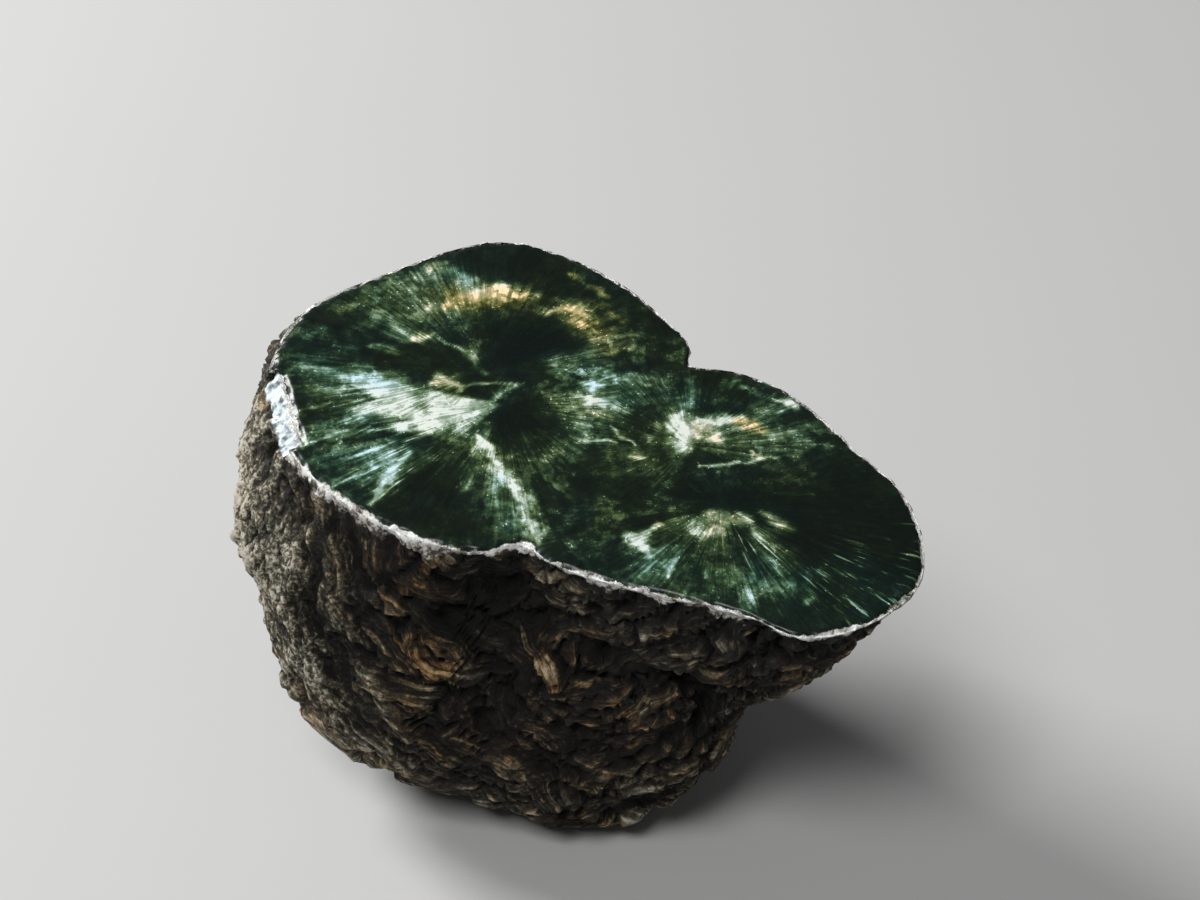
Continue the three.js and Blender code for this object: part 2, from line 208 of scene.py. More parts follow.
# Strokes on the cut: their line in U and V, their half width at each end, what they are and how strong.
STROKES = {}
# Strokes of painted silvery sheen.
STROKES["silver"] = [
    ([(-13.0, 3.5), (-11.0, 3.2), (-9.4, 2.9)], 0.5, 0.8, 0.75),
    ([(-12.3, 1.3), (-10.4, 1.4), (-8.2, 1.6)], 0.5, 0.7, 0.65),
    ([(-10.2, 0.3), (-8.6, 0.6), (-7.0, 1.0)], 0.5, 0.8, 0.6),
    ([(-11.6, 2.6), (-9.6, 2.3), (-7.8, 2.1), (-6.3, 2.1)], 0.9, 0.7, 0.35),
    ([(-7.3, 3.0), (-6.4, 3.6), (-5.0, 3.7), (-3.9, 3.8)], 0.14, 0.14, 0.7),
    ([(-5.9, 2.3), (-5.0, 2.9), (-4.2, 3.6)], 0.12, 0.12, 0.6),
    ([(-11.0, 8.0), (-10.0, 6.8), (-9.2, 6.7)], 0.3, 0.4, 0.38),
    ([(-8.4, 6.7), (-7.4, 6.1), (-6.5, 5.3), (-6.0, 4.5)], 0.13, 0.26, 0.7),
    ([(-7.4, 11.6), (-6.9, 10.8)], 0.35, 0.45, 0.8),
    ([(-11.8, 5.9), (-11.1, 6.0), (-10.5, 5.7)], 0.25, 0.28, 0.95),
    ([(-15.7, 1.0), (-14.6, 1.3), (-13.5, 1.9)], 0.13, 0.15, 0.75),
    ([(-15.4, 4.3), (-14.4, 4.2), (-13.2, 3.9)], 0.1, 0.14, 0.6),
    ([(-14.4, -1.0), (-12.8, -0.1), (-10.6, 0.0)], 0.16, 0.14, 0.6),
    ([(-9.5, -1.4), (-10.3, -3.1), (-11.2, -5.0)], 0.3, 0.22, 0.95),
    ([(-6.1, 0.1), (-5.5, -1.0), (-4.8, -2.4), (-4.1, -3.7)], 0.16, 0.34, 0.9),
    ([(-4.1, -3.6), (-3.5, -5.3), (-2.9, -7.0)], 0.4, 0.62, 1.0),
    ([(-0.8, 3.95), (0.0, 3.85)], 0.28, 0.24, 1.0),
    ([(0.2, 4.5), (1.4, 4.4), (2.5, 4.1)], 0.18, 0.22, 0.65),
    ([(-1.2, 3.1), (0.1, 2.7), (1.3, 2.2)], 0.3, 0.3, 0.75),
    ([(-0.4, -0.1), (0.3, 0.0), (0.9, 0.0)], 0.1, 0.12, 0.9),
    ([(0.5, 1.0), (0.9, 0.5), (1.7, -0.2)], 0.1, 0.1, 0.9),
    ([(2.8, 1.6), (3.1, 0.8)], 0.2, 0.16, 0.5),
    ([(3.8, 1.7), (4.3, 0.9), (4.2, 0.0)], 0.8, 0.8, 0.95),
    ([(4.9, 1.6), (5.9, 1.7), (7.1, 1.8)], 0.38, 0.42, 1.0),
    ([(4.4, 2.2), (4.6, 3.2)], 0.2, 0.2, 0.6),
    ([(8.9, 3.4), (9.9, 3.1)], 0.3, 0.35, 0.95),
    ([(5.0, -1.5), (6.4, -1.3), (7.8, -0.9), (8.9, -0.7)], 0.1, 0.12, 0.8),
    ([(8.6, -3.1), (9.6, -3.1), (10.6, -3.1)], 0.1, 0.1, 0.55),
    ([(6.7, -4.5), (7.5, -5.6), (8.5, -6.8)], 0.14, 0.2, 0.8),
    ([(1.4, -6.3), (1.9, -6.7), (2.4, -7.3)], 0.42, 0.5, 1.1),
    ([(1.6, -6.2), (2.3, -6.2), (2.9, -5.8)], 0.22, 0.16, 0.9),
    ([(3.8, -7.7), (3.6, -8.3), (3.4, -9.0)], 0.12, 0.16, 0.85),
    ([(9.9, -9.4), (10.3, -9.9), (10.0, -10.5)], 0.14, 0.2, 0.9),
]
STROKES["green"] = [
    ([(-8.8, 1.7), (-7.4, 1.7), (-6.2, 1.9)], 0.9, 0.6, 0.9),
    ([(-5.9, 2.3), (-4.9, 2.9), (-4.0, 3.7)], 0.22, 0.2, 1.0),
    ([(-12.5, 9.8), (-11.3, 8.4), (-10.1, 6.9)], 0.35, 0.75, 1.0),
    ([(-10.2, 11.4), (-8.9, 11.9), (-7.8, 12.3)], 0.5, 0.5, 0.9),
    ([(-10.8, 11.0), (-9.6, 10.2), (-8.6, 9.6)], 0.9, 0.8, 0.5),
    ([(-9.2, 8.9), (-8.0, 8.9), (-6.8, 9.0)], 0.6, 0.5, 0.5),
    ([(-7.8, 0.8), (-7.0, 0.2)], 0.7, 0.6, 0.7),
    ([(-2.4, 5.4), (-1.0, 5.8), (0.4, 5.6)], 0.4, 0.4, 0.9),
    ([(-2.2, 2.7), (-1.0, 2.2), (0.4, 1.8)], 0.8, 0.7, 0.7),
    ([(-4.4, -1.3), (-3.0, -1.6), (-1.4, -1.0), (-0.4, 0.6)], 0.5, 0.4, 0.6),
    ([(6.0, 0.2), (7.4, 0.5), (9.6, 0.4)], 0.5, 0.7, 0.6),
    ([(8.2, -5.5), (9.2, -5.8)], 0.35, 0.3, 0.7),
    ([(2.2, -7.8), (2.3, -9.2)], 0.7, 0.6, 0.9),
]
STROKES["dark"] = [
    ([(-9.4, 3.4), (-9.0, 2.2), (-8.8, 1.2)], 0.35, 0.3, 0.35),
    ([(-13.2, 2.2), (-12.4, 2.5), (-11.6, 2.3)], 0.3, 0.35, 0.7),
    ([(-11.8, 0.9), (-11.0, 0.6), (-9.8, 0.8)], 0.25, 0.25, 0.6),
    ([(-5.0, 1.2), (-3.8, 1.0)], 1.5, 1.3, 0.95),
    ([(-6.6, 5.0), (-5.6, 4.8)], 0.5, 0.5, 0.9),
    ([(-5.8, 7.6), (-3.4, 6.9), (-1.4, 6.8)], 1.0, 0.9, 0.8),
    ([(5.6, 2.5), (7.6, 2.4)], 0.3, 0.3, 0.7),
    ([(3.6, -3.4), (5.4, -3.6), (7.6, -3.6), (9.2, -3.4)], 0.7, 0.7, 1.0),
    ([(9.0, -8.4), (10.0, -7.4), (12.0, -6.6)], 0.8, 1.2, 0.5),
]
# Strokes of painted creamy sheen.
STROKES["cream"] = [
    ([(-8.4, 3.5), (-7.8, 3.7), (-7.2, 3.3)], 0.4, 0.35, 0.85),
    ([(-9.6, 6.7), (-8.7, 7.1)], 0.3, 0.2, 0.6),
    ([(-9.2, 12.1), (-8.2, 12.5)], 0.35, 0.3, 0.6),
    ([(-7.6, 9.9), (-6.4, 10.3), (-5.0, 10.7)], 0.4, 0.35, 0.6),
    ([(-1.5, 9.4), (-1.0, 9.0)], 0.3, 0.25, 0.8),
    ([(-1.5, 8.3), (-1.0, 8.2)], 0.25, 0.2, 0.7),
    ([(-0.6, 1.9), (0.6, 1.6)], 0.14, 0.2, 0.5),
    ([(1.4, -1.0), (2.3, -1.2)], 0.12, 0.14, 0.7),
    ([(4.8, 1.2), (5.4, 0.9), (6.0, 0.4)], 0.6, 0.4, 0.8),
    ([(7.6, -0.3), (8.1, -0.8)], 0.15, 0.22, 0.85),
    ([(5.4, -4.7), (6.2, -5.0), (7.0, -5.0)], 0.35, 0.35, 0.55),
    ([(8.1, -4.6), (8.8, -5.0), (9.4, -5.5)], 0.16, 0.3, 0.85),
    ([(2.7, -5.7), (3.2, -5.6)], 0.22, 0.2, 0.75),
]
# Strokes of painted bluish sheen.
STROKES["blue"] = [
    ([(-7.7, 12.4), (-7.2, 11.2), (-6.6, 10.5)], 0.4, 0.6, 0.9),
    ([(-13.6, 5.9), (-12.6, 5.8)], 0.3, 0.3, 0.6),
    ([(-15.2, 6.6), (-14.2, 7.4)], 0.3, 0.3, 0.5),
    ([(-13.9, -2.4), (-12.6, -1.8), (-11.2, -1.6)], 0.7, 0.9, 0.6),
    ([(-10.4, -1.6), (-11.4, -3.4)], 0.6, 0.5, 0.7),
    ([(-5.0, -3.0), (-5.0, -4.6), (-4.3, -6.4)], 0.45, 0.8, 0.85),
    ([(-2.6, 4.7), (-0.4, 4.8), (2.4, 4.6)], 0.35, 0.3, 0.75),
    ([(4.5, 2.6), (4.6, 3.6), (4.7, 4.6)], 0.5, 0.4, 0.7),
    ([(6.3, 4.5), (7.2, 4.2)], 0.4, 0.4, 0.75),
    ([(8.0, 1.4), (9.2, 2.6)], 0.12, 0.1, 0.5),
    ([(5.2, -8.4), (5.2, -9.0)], 0.12, 0.14, 0.7),
    ([(6.8, -9.8), (7.4, -10.6)], 0.3, 0.5, 0.5),
]
# Strokes of painted tawny reflection.
STROKES["tan"] = [
    ([(-8.2, 9.2), (-7.0, 9.9), (-5.8, 10.3), (-4.8, 10.4), (-3.8, 10.1)], 0.5, 0.6, 1.0),
    ([(-2.8, 9.1), (-1.9, 9.6), (-1.2, 9.4)], 0.45, 0.6, 0.9),
    ([(-1.3, 9.5), (-0.9, 8.9), (-1.3, 8.2), (-0.2, 7.6)], 0.45, 0.6, 0.85),
    ([(-1.7, 12.0), (-1.0, 11.6)], 0.25, 0.2, 0.7),
    ([(-0.7, 11.3), (0.3, 10.6)], 0.25, 0.3, 0.7),
    ([(-0.9, 10.0), (0.4, 9.6), (1.2, 8.6)], 0.4, 0.3, 0.35),
    ([(7.0, 1.6), (8.2, 1.3)], 0.4, 0.3, 0.75),
]
# Strokes wander, over about so many millimetres and so far. Their sides are ragged, and they are widest in
# the middle. Each adds at most this share of the light that is missing, and the dark ones leave this share.
STROKE_WANDER = (1.3, 0.25)
STROKE_RAGS_PER_MM = 3.0
STROKE_RAGGED = 0.56
STROKE_WIDTHS = (0.7, 0.5)
STRONGEST_STROKE = 0.98
LIGHT_IN_DARK = 0.3

# The colours of the cut from its darkest parts to its brightest, whose pale top is the painted silvery
# sheen, and its warm and cool tints.
CUT_COLOURS = [
    (0.0, (0.0030, 0.0055, 0.0045)),
    (0.18, (0.0078, 0.0160, 0.0098)),
    (0.36, (0.0310, 0.0580, 0.0270)),
    (0.55, (0.1050, 0.1650, 0.0850)),
    (0.78, (0.2900, 0.3700, 0.2900)),
    (1.0, (0.6800, 0.7300, 0.6800)),
]
CUT_BASE = 0.125
# The noises that make the cut uneven: how many waves to a millimetre, how many layers, and how rough.
CUT_CLOUDS = (0.45, 4.0, 0.6)
CUT_MOTTLE = (1.7, 5.0, 0.65)
CUT_PATCHES = (0.95, 4.0, 0.62)
# The next noise places tiny painted glints on the cut.
CUT_GLINTS = (7.0, 2.0, 0.6)
CUT_HUES = (0.28, 3.0, 0.6)
# The streaks of the fans and the bundles of fibres, each bundle with its own painted sheen: how closely they
# lie, and how they change lengthwise.
COARSE_STREAKS = (7.0, 0.22)
FINE_STREAKS = (34.0, 0.5)
FACETS = (3.2, 0.4)
STREAK_NOISE = (1.0, 3.0, 0.6)
FACET_WAVES_PER_MM = 2.0
FACET_WANDER = 0.32
SMALLEST_RADIUS = 0.05
# How strongly bumps roughen the cut, the skin and the broken edge, and how deep they are in millimetres.
CUT_BUMP = (0.2, 0.04)
SKIN_BUMP = (1.0, 0.3)
EDGE_BUMP = (1.0, 0.3)
# The warm tint of the painted tawny reflections and creamy sheen, the cool tint of the painted bluish sheen,
# and the cut's own yellower and bluer greens.
WARM_TINT = (1.5, 0.98, 0.62)
COOL_TINT = (0.84, 1.0, 1.18)
YELLOW_GREEN = (1.08, 1.0, 0.74)
BLUE_GREEN = (0.86, 1.0, 1.08)
BEVEL_SILVER = (0.70, 0.78, 0.80)
BEVEL_BLUE = (0.10, 0.14, 0.17)
# The broken edge, from the brown between its crystals to their silvery white.
EDGE_COLOURS = [
    (0.0, (0.030, 0.024, 0.016)),
    (0.25, (0.150, 0.125, 0.090)),
    (0.50, (0.500, 0.485, 0.430)),
    (1.0, (0.880, 0.890, 0.860)),
]

# The skin is made of large plates with small flakes on them. For each: how far apart they lie, their half
# length and half width, how they bend and turn, and how they dome, tilt, step up and down and part.
PLATES = {
    "spacing": 2.3,
    "length": (2.2, 8.0),
    "width": (0.5, 1.6),
    "bend": 0.09,
    "turn": math.radians(20),
    "dome": 0.08,
    "tilt": 0.32,
    "step": 0.22,
    "gap": 0.40,
    "gap_width": 0.10,
}
FLAKES = {
    "spacing": 0.95,
    "length": (0.9, 3.2),
    "width": (0.22, 0.65),
    "bend": 0.12,
    "turn": math.radians(26),
    "dome": 0.05,
    "tilt": 0.13,
    "step": 0.08,
    "gap": 0.13,
    "gap_width": 0.2,
}
PLATE_SEED = 7
PLATE_DEPTH = 2.0
NEAR_PLATES = 24
SKIN_WANDER = ((4.5, 0.9), (1.6, 0.5), (0.8, 0.18))
FLAKE_GAP_SHARE = 0.5
FIBRE_HEIGHT = 0.09
FIBRE_PITCH = 0.42
FIBRE_WAVES_PER_MM = 0.35
GRAIN_HEIGHT = 0.08
GRAIN_SIZE = 0.9
# The left side: its grain's height, the share of the plates' height that it keeps, and its border's slant.
LEFT_GRAIN_HEIGHT = 0.2
LEFT_PLATES = 0.45
LEFT_LEAN = 0.5
HIGHEST_RELIEF = 0.5
SKIN_FADE = (0.0, 1.1)
REST_FADE = (0.25, 1.6)

# The way that the skin's flakes run, as degrees above the level line: steeply down on the left, hanging like
# a garland across the front, whose middle is at this X, and up or down in patches of this size at the back.
LEFT_SLOPE = -62
GARLAND_MIDDLE = 0.8
GARLAND_SLOPE_PER_MM = 3.4
GARLAND_STEEPEST = 40
# The grainy, greyer left side: its border, along X plus LEFT_LEAN times Y, and the heights over which it
# grows. Its colour also holds painted light, which makes the upper left paler, where the light falls.
LEFT_SIDE = (-16.5, -11.5)
LEFT_RISE = (3.0, 12.0)
STEEP_SIDE = (-12.5, -6.5)
BACK_SIDE = (0.0, 5.0)
BACK_SLOPE = 25
BACK_PATCH = 7
# The low round lobe in front is ribbed like a shell, in arcs round this point.
SHELL_MIDDLE = np.array([0.8, -10.0, 11.6])
SHELL_REACH = (7.2, 9.0)
SHELL_FRONT = (-4.0, -6.5)
SHELL_BELOW = (0.5, 2.5)
SHELL_PLATES = 0.6
ARC_PITCH = 0.85
ARC_HEIGHT = 0.1
ARC_WAVE = 2.5
ARC_WANDER = 2.5

# The noises and the fibres of the skin and its rust, and the noises of the edge and the bevel.
SKIN_GRAIN = (4.0, 5.0, 0.7)
SKIN_STRETCHES = (0.22, 3.0, 0.55)
STRANDS_ALONG = 0.45
STRANDS_ACROSS = 3.6
STRAND_NOISE = (1.0, 5.0, 0.65)
RUST_PATCHES = (0.35, 3.0, 0.6)
RUST_SPOTS = (0.9, 4.0, 0.65)
RUST_FLECKS = (2.4, 3.0, 0.6)
EDGE_CHIPS = (2.2, 5.0, 0.75)
EDGE_STAINS = (0.35, 2.0, 0.5)
EDGE_RAGS = (1.6, 4.0, 0.7)
EDGE_WAVES = (0.45, 2.0, 0.6)
BEVEL_BANDS = (1.5, 3.0, 0.6)

# The colours of the skin.
RUSTY_COLOURS = [
    (0.0, (0.0028, 0.0020, 0.0014)),
    (0.30, (0.0110, 0.0072, 0.0042)),
    (0.50, (0.0380, 0.0240, 0.0110)),
    (0.68, (0.1350, 0.0740, 0.0270)),
    (0.84, (0.3400, 0.1950, 0.0720)),
    (1.0, (0.5600, 0.4100, 0.2300)),
]
GREY_COLOURS = [
    (0.0, (0.0028, 0.0025, 0.0018)),
    (0.30, (0.0100, 0.0088, 0.0060)),
    (0.50, (0.0320, 0.0300, 0.0190)),
    (0.68, (0.0900, 0.0830, 0.0540)),
    (0.84, (0.2350, 0.2150, 0.1550)),
    (1.0, (0.5200, 0.4850, 0.4050)),
]
# Where the skin is rusty, and where painted shade darkens it, as under the edge of the cut and near the
# floor: a middle and a reach each.
RUSTY_PLACES = [
    ((1.0, -8.2, 13.7), 2.0),
    ((3.0, -9.6, 10.4), 2.0),
    ((5.0, -9.6, 9.9), 1.8),
    ((0.6, -9.4, 10.8), 2.2),
    ((-1.6, -8.9, 10.8), 2.0),
    ((-3.0, -7.9, 7.9), 2.8),
    ((3.0, -9.3, 7.8), 2.2),
    ((-6.9, -8.3, 12.5), 2.0),
    ((-7.2, -7.4, 18.1), 2.4),
    ((12.5, -11.0, 13.4), 2.0),
    ((-4.0, 11.0, 11.0), 4.0),
    ((9.0, 2.0, 13.0), 3.4),
    ((-12.0, 5.0, 8.0), 2.6),
]
PAINTED_SHADE_PLACES = [
    ((-2.9, -6.7, 14.6), 2.6),
    ((6.8, -10.5, 15.2), 3.6),
    ((11.6, -11.8, 16.4), 3.6),
    ((-10.6, -7.6, 9.3), 3.4),
    ((-5.6, -6.4, 4.0), 3.0),
    ((0.0, -7.5, 2.4), 2.6),
    ((7.4, -8.4, 9.0), 2.4),
    ((2.5, 8.0, 12.0), 3.0),
]

# A seed for each noise, so that no two of them are alike.
SEEDS = {
    "fibres": 3,
    "back": 5,
    "grain": 11,
    "fans": 21,
    "rays": 31,
    "strokes": 41,
    "edge": 51,
    "wander": (61, 67),
    "skin": 71,
    "bevel": 81,
    "arcs": 91,
}

# The stage: a pale floor, a soft key light behind on the left, and weak fills.
FLOOR_SIZE = 4000
FLOOR_COLOUR = (0.46, 0.46, 0.455)
FLOOR_SHADE = (0.36, 0.36, 0.355)
FLOOR_CLOUDS = (0.02, 4.0, 0.5)
WORLD_COLOUR = (0.86, 0.87, 0.88)
WORLD_STRENGTH = 0.13
KEY_PLACE = (-300, 190, 270)
KEY_SIZE = 150
KEY_POWER = 2.5
FILL_PLACE = (-110, -200, 380)
FILL_SIZE = 170
FILL_POWER = 1.1


def unit(vectors):
    """The same vectors, one long."""
    lengths = np.linalg.norm(vectors, axis=-1, keepdims=True)
    return vectors / np.maximum(lengths, 1e-12)


def smoothstep(low, high, value):
    """0 below low, 1 above high, and smooth between them."""
    share = np.clip((value - low) / (high - low), 0, 1)
    return share * share * (3 - 2 * share)


# Noise

STEPS = list(itertools.product((-1, 0, 1), repeat=3))
NOISE_WAYS = np.array([way for way in STEPS if np.abs(way).sum() == 2], float)


def hashed(cells, seed):
    """One whole number from 0 to 2**32 for each cell."""
    x, y, z = (cells[:, axis].astype(np.uint64) for axis in range(3))
    mixed = x * np.uint64(374761393) + y * np.uint64(668265263) + z * np.uint64(2147483647)
    mixed = (mixed + np.uint64(seed * 1013904223)) & np.uint64(0xFFFFFFFF)
    mixed = ((mixed ^ (mixed >> np.uint64(13))) * np.uint64(1274126177)) & np.uint64(0xFFFFFFFF)
    return mixed ^ (mixed >> np.uint64(16))


def noise(points, seed=0):
    """Smooth noise from about -1 to 1 at each point."""
    cells = np.floor(points).astype(np.int64)
    inside = points - cells
    ease = inside**3 * (inside * (inside * 6 - 15) + 10)
    total = np.zeros(len(points))
    for corner in itertools.product((0, 1), repeat=3):
        corner = np.array(corner)
        ways = NOISE_WAYS[(hashed(cells + corner, seed) % np.uint64(len(NOISE_WAYS))).astype(int)]
        weight = np.prod(np.where(corner, ease, 1 - ease), axis=1)
        total += weight * (ways * (inside - corner)).sum(axis=1)
    return total


def layered_noise(points, layers, seed=0):
    """Noise with finer and weaker noise added to it."""
    total = np.zeros(len(points))
    for layer in range(layers):
        total += noise(points * 2.0**layer, seed + layer) / 2.0**layer
    return total


# The CAD solid, as the surface that the finer mesh is laid on

def cad_surface():
    """The CAD solid's surface for casting rays, and the direction that its cut faces."""
    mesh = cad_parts[NODE].data
    points = [Vector(vertex.co) / MM for vertex in mesh.vertices]
    faces = [tuple(polygon.vertices) for polygon in mesh.polygons]
    largest = max(mesh.polygons, key=lambda polygon: polygon.area)
    return BVHTree.FromPolygons(points, faces), unit(np.array(largest.normal))


surface, CUT_NORMAL = cad_surface()
CUT_U = unit(np.cross((0, 1, 0), CUT_NORMAL))
CUT_V = np.cross(CUT_NORMAL, CUT_U)


def cast(start, direction):
    """Where a ray from inside the stone leaves it."""
    place = surface.ray_cast(Vector(start), Vector(direction))[0]
    return np.array(place)


def even_steps(line, count):
    """This many points on a line, evenly spaced from its first point, with its last point left out."""
    return at_lengths(line, np.linspace(0, line_length(line), count, endpoint=False))


def line_length(line):
    return np.linalg.norm(np.diff(line, axis=0), axis=1).sum()


def at_lengths(line, lengths):
    """The points at given lengths along a line."""
    steps = np.linalg.norm(np.diff(line, axis=0), axis=1)
    along = np.concatenate(([0], np.cumsum(steps)))
    return np.stack([np.interp(lengths, along, line[:, axis]) for axis in range(3)], axis=1)


def cut_edge():
    """The edge of the cut, as evenly spaced points."""
    start = CUT_CENTRE - EDGE_LIFT * CUT_NORMAL
    turns = np.linspace(0, 2 * math.pi, EDGE_RAYS, endpoint=False)
    ways = np.cos(turns)[:, None] * CUT_U + np.sin(turns)[:, None] * CUT_V
    points = np.array([cast(start, way) for way in ways]) + EDGE_LIFT * CUT_NORMAL
    closed = np.concatenate((points, points[:1]))
    return even_steps(closed, AROUND)


def ring_lengths(total):
    """Distances from the edge for all rings: a few close ones, and then even ones up to the total."""
    even = np.linspace(EDGE_RINGS[-1], total, RINGS - len(EDGE_RINGS) + 2)[1:]
    return np.concatenate((EDGE_RINGS, even))


def skin_profile(edge_point):
    """Points down the skin from one point of the edge to the bottom, at the rings' distances."""
    start = unit(edge_point - NODULE_MIDDLE)
    down = np.array([0, 0, -1.0])
    angle = math.acos(start @ down)
    line = [edge_point]
    for share in np.linspace(0, 1, PROFILE_RAYS + 1)[1:]:
        way = math.sin((1 - share) * angle) * start + math.sin(share * angle) * down
        line.append(cast(NODULE_MIDDLE, way))
    line = np.array(line)
    lengths = ring_lengths(line_length(line))
    return at_lengths(line, lengths), lengths


def cut_profile(edge_point):
    """Points across the cut from one point of the edge to its middle, at the rings' distances."""
    line = np.array([edge_point, CUT_CENTRE])
    lengths = ring_lengths(line_length(line))
    return at_lengths(line, lengths), lengths


def square_grid():
    """For each point of a square grid: its ring, counted from the edge, and how far round the ring it is."""
    steps = np.linspace(-1, 1, GRID + 1)
    a, b = np.meshgrid(steps, steps, indexing="ij")
    size = np.maximum(np.abs(a), np.abs(b))
    safe = np.maximum(size, 1e-9)
    turn = np.select(
        [(size < 1e-9), (a >= size), (b >= size), (a <= -size)],
        [0 * a, b / safe / 8, 0.25 - a / safe / 8, 0.5 - b / safe / 8],
        0.75 + a / safe / 8,
    )
    rings = np.rint((1 - size) * RINGS).astype(int)
    return rings, (turn % 1) * AROUND


def from_profiles(profiles, rings, turns):
    """The values of the profiles at the grid's points."""
    low = np.floor(turns).astype(int) % AROUND
    share = (turns - np.floor(turns))[..., None]
    return profiles[low, rings] * (1 - share) + profiles[(low + 1) % AROUND, rings] * share


def smoothed(grid, rounds):
    """The grid's points, each moved towards the mean of its neighbours, with the edge held."""
    grid = grid.copy()
    for _ in range(rounds):
        around = grid[:-2, 1:-1] + grid[2:, 1:-1] + grid[1:-1, :-2] + grid[1:-1, 2:]
        grid[1:-1, 1:-1] = grid[1:-1, 1:-1] / 2 + around / 8
    return grid


def grid_normals(grid):
    """The outward direction at each point of a grid."""
    along_a = np.gradient(grid, axis=0)
    along_b = np.gradient(grid, axis=1)
    return unit(np.cross(along_a, along_b))


# The flakes of the skin

def flake_direction(points, normals):
    """The way that a flake runs at each point of the skin."""
    level = unit(np.cross((0, 0, 1.0), normals) + 1e-6)
    rising = np.cross(normals, level)
    garland = GARLAND_SLOPE_PER_MM * (points[:, 0] - GARLAND_MIDDLE)
    garland = np.clip(garland, -GARLAND_STEEPEST, GARLAND_STEEPEST)
    steep = 1 - smoothstep(*STEEP_SIDE, points[:, 0])
    slope = garland * (1 - steep) + LEFT_SLOPE * steep
    back_share = smoothstep(*BACK_SIDE, points[:, 1])
    rising_back = np.sign(noise(points / BACK_PATCH, SEEDS["back"]))
    slope = slope * (1 - back_share) + BACK_SLOPE * back_share * rising_back
    slope = np.radians(slope)[:, None]
    ways = np.cos(slope) * level + np.sin(slope) * rising
    radius = points - SHELL_MIDDLE
    radius[:, 1] = 0
    shell_ways = unit(np.cross((0, -1.0, 0), radius) + 1e-6)
    shell = shell_share(points)[:, None]
    shell_ways = shell_ways * np.sign((shell_ways * ways).sum(axis=1))[:, None]
    mixed = ways * (1 - shell) + shell_ways * shell
    mixed -= (mixed * normals).sum(axis=1)[:, None] * normals
    return unit(mixed)


def shell_share(points):
    """How much of the shell's ribs a point of the skin has."""
    radius = np.hypot(points[:, 0] - SHELL_MIDDLE[0], points[:, 2] - SHELL_MIDDLE[2])
    in_front = smoothstep(*SHELL_FRONT, points[:, 1])
    below = smoothstep(*SHELL_BELOW, SHELL_MIDDLE[2] - points[:, 2])
    return in_front * below * (1 - smoothstep(*SHELL_REACH, radius))


def scattered(points, spacing, generator):
    """A few of the points, no two closer together than the spacing."""
    kept = []
    cells = {}
    for index in generator.permutation(len(points)):
        point = points[index]
        cell = tuple(np.floor(point / spacing).astype(int))
        near = [
            other
            for step in STEPS
            for other in cells.get(tuple(np.add(cell, step)), ())
        ]
        if all(np.linalg.norm(point - points[other]) >= spacing for other in near):
            kept.append(index)
            cells.setdefault(cell, []).append(index)
    return np.array(kept)


def make_plates(kind, points, normals, generator):
    """Plates or flakes of the skin: middles, directions, sizes and how they bend, as arrays."""
    chosen = scattered(points, kind["spacing"], generator)
    count = len(chosen)
    normal = normals[chosen]
    along = flake_direction(points[chosen], normal)
    turn = generator.normal(0, kind["turn"], count)[:, None]
    along = np.cos(turn) * along + np.sin(turn) * np.cross(normal, along)
    finder = KDTree(count)
    for index, middle in enumerate(points[chosen]):
        finder.insert(middle, index)
    finder.balance()
    return {
        "kind": kind,
        "finder": finder,
        "middle": points[chosen],
        "normal": normal,
        "along": along,
        "across": np.cross(normal, along),
        "length": generator.uniform(*kind["length"], count),
        "width": generator.uniform(*kind["width"], count),
        "bend": generator.normal(0, kind["bend"], count),
        "step": generator.uniform(-1, 1, count),
        "seed": generator.uniform(0, 40, count),
    }


def in_plate(plates, which, points):
    """Points in the frames of chosen plates: along, across and out of each."""
    offset = points - plates["middle"][which]
    along = (offset * plates["along"][which]).sum(axis=-1)
    across = (offset * plates["across"][which]).sum(axis=-1) + plates["bend"][which] * along**2
    outward = (offset * plates["normal"][which]).sum(axis=-1)
    return along, across, outward


def nearest_plates(plates, points):
    """For each point: the plate that it is on, how far out on it, and how far it is from the next plate."""
    find = plates["finder"].find_n
    near = np.array([[index for _, index, _ in find(point, NEAR_PLATES)] for point in points])
    along, across, outward = in_plate(plates, near, points[:, None, :])
    length = plates["length"][near]
    width = plates["width"][near]
    reach = np.sqrt((along / length) ** 2 + (across / width) ** 2 + (outward / PLATE_DEPTH) ** 2)
    order = np.argsort(reach, axis=1)[:, :2]
    values = np.take_along_axis(reach, order, axis=1)
    owner = np.take_along_axis(near, order[:, :1], axis=1)[:, 0]
    return owner, values[:, 0], values[:, 1] - values[:, 0]


def skin_wander(points):
    """The points of the skin, shifted smoothly and unevenly so that no plate has a clean outline."""
    shifted = points.copy()
    for size, amount in SKIN_WANDER:
        for axis in range(3):
            shifted[:, axis] += amount * noise(points / size, SEEDS["skin"] + axis)
    return shifted


def plate_height(plates, points):
    """How far the plates stand out at each point, and how deep in a gap between them each point is."""
    kind = plates["kind"]
    owner, reach, gap = nearest_plates(plates, points)
    _, across, _ = in_plate(plates, owner, points)
    dome = kind["dome"] * (1 - np.minimum(reach, 1.3) ** 2)
    tilt = -kind["tilt"] * np.clip(across / plates["width"][owner], -1.2, 1.2)
    step = kind["step"] * plates["step"][owner]
    in_gap = np.exp(-((gap / kind["gap_width"]) ** 2))
    return dome + tilt + step - kind["gap"] * in_gap, in_gap


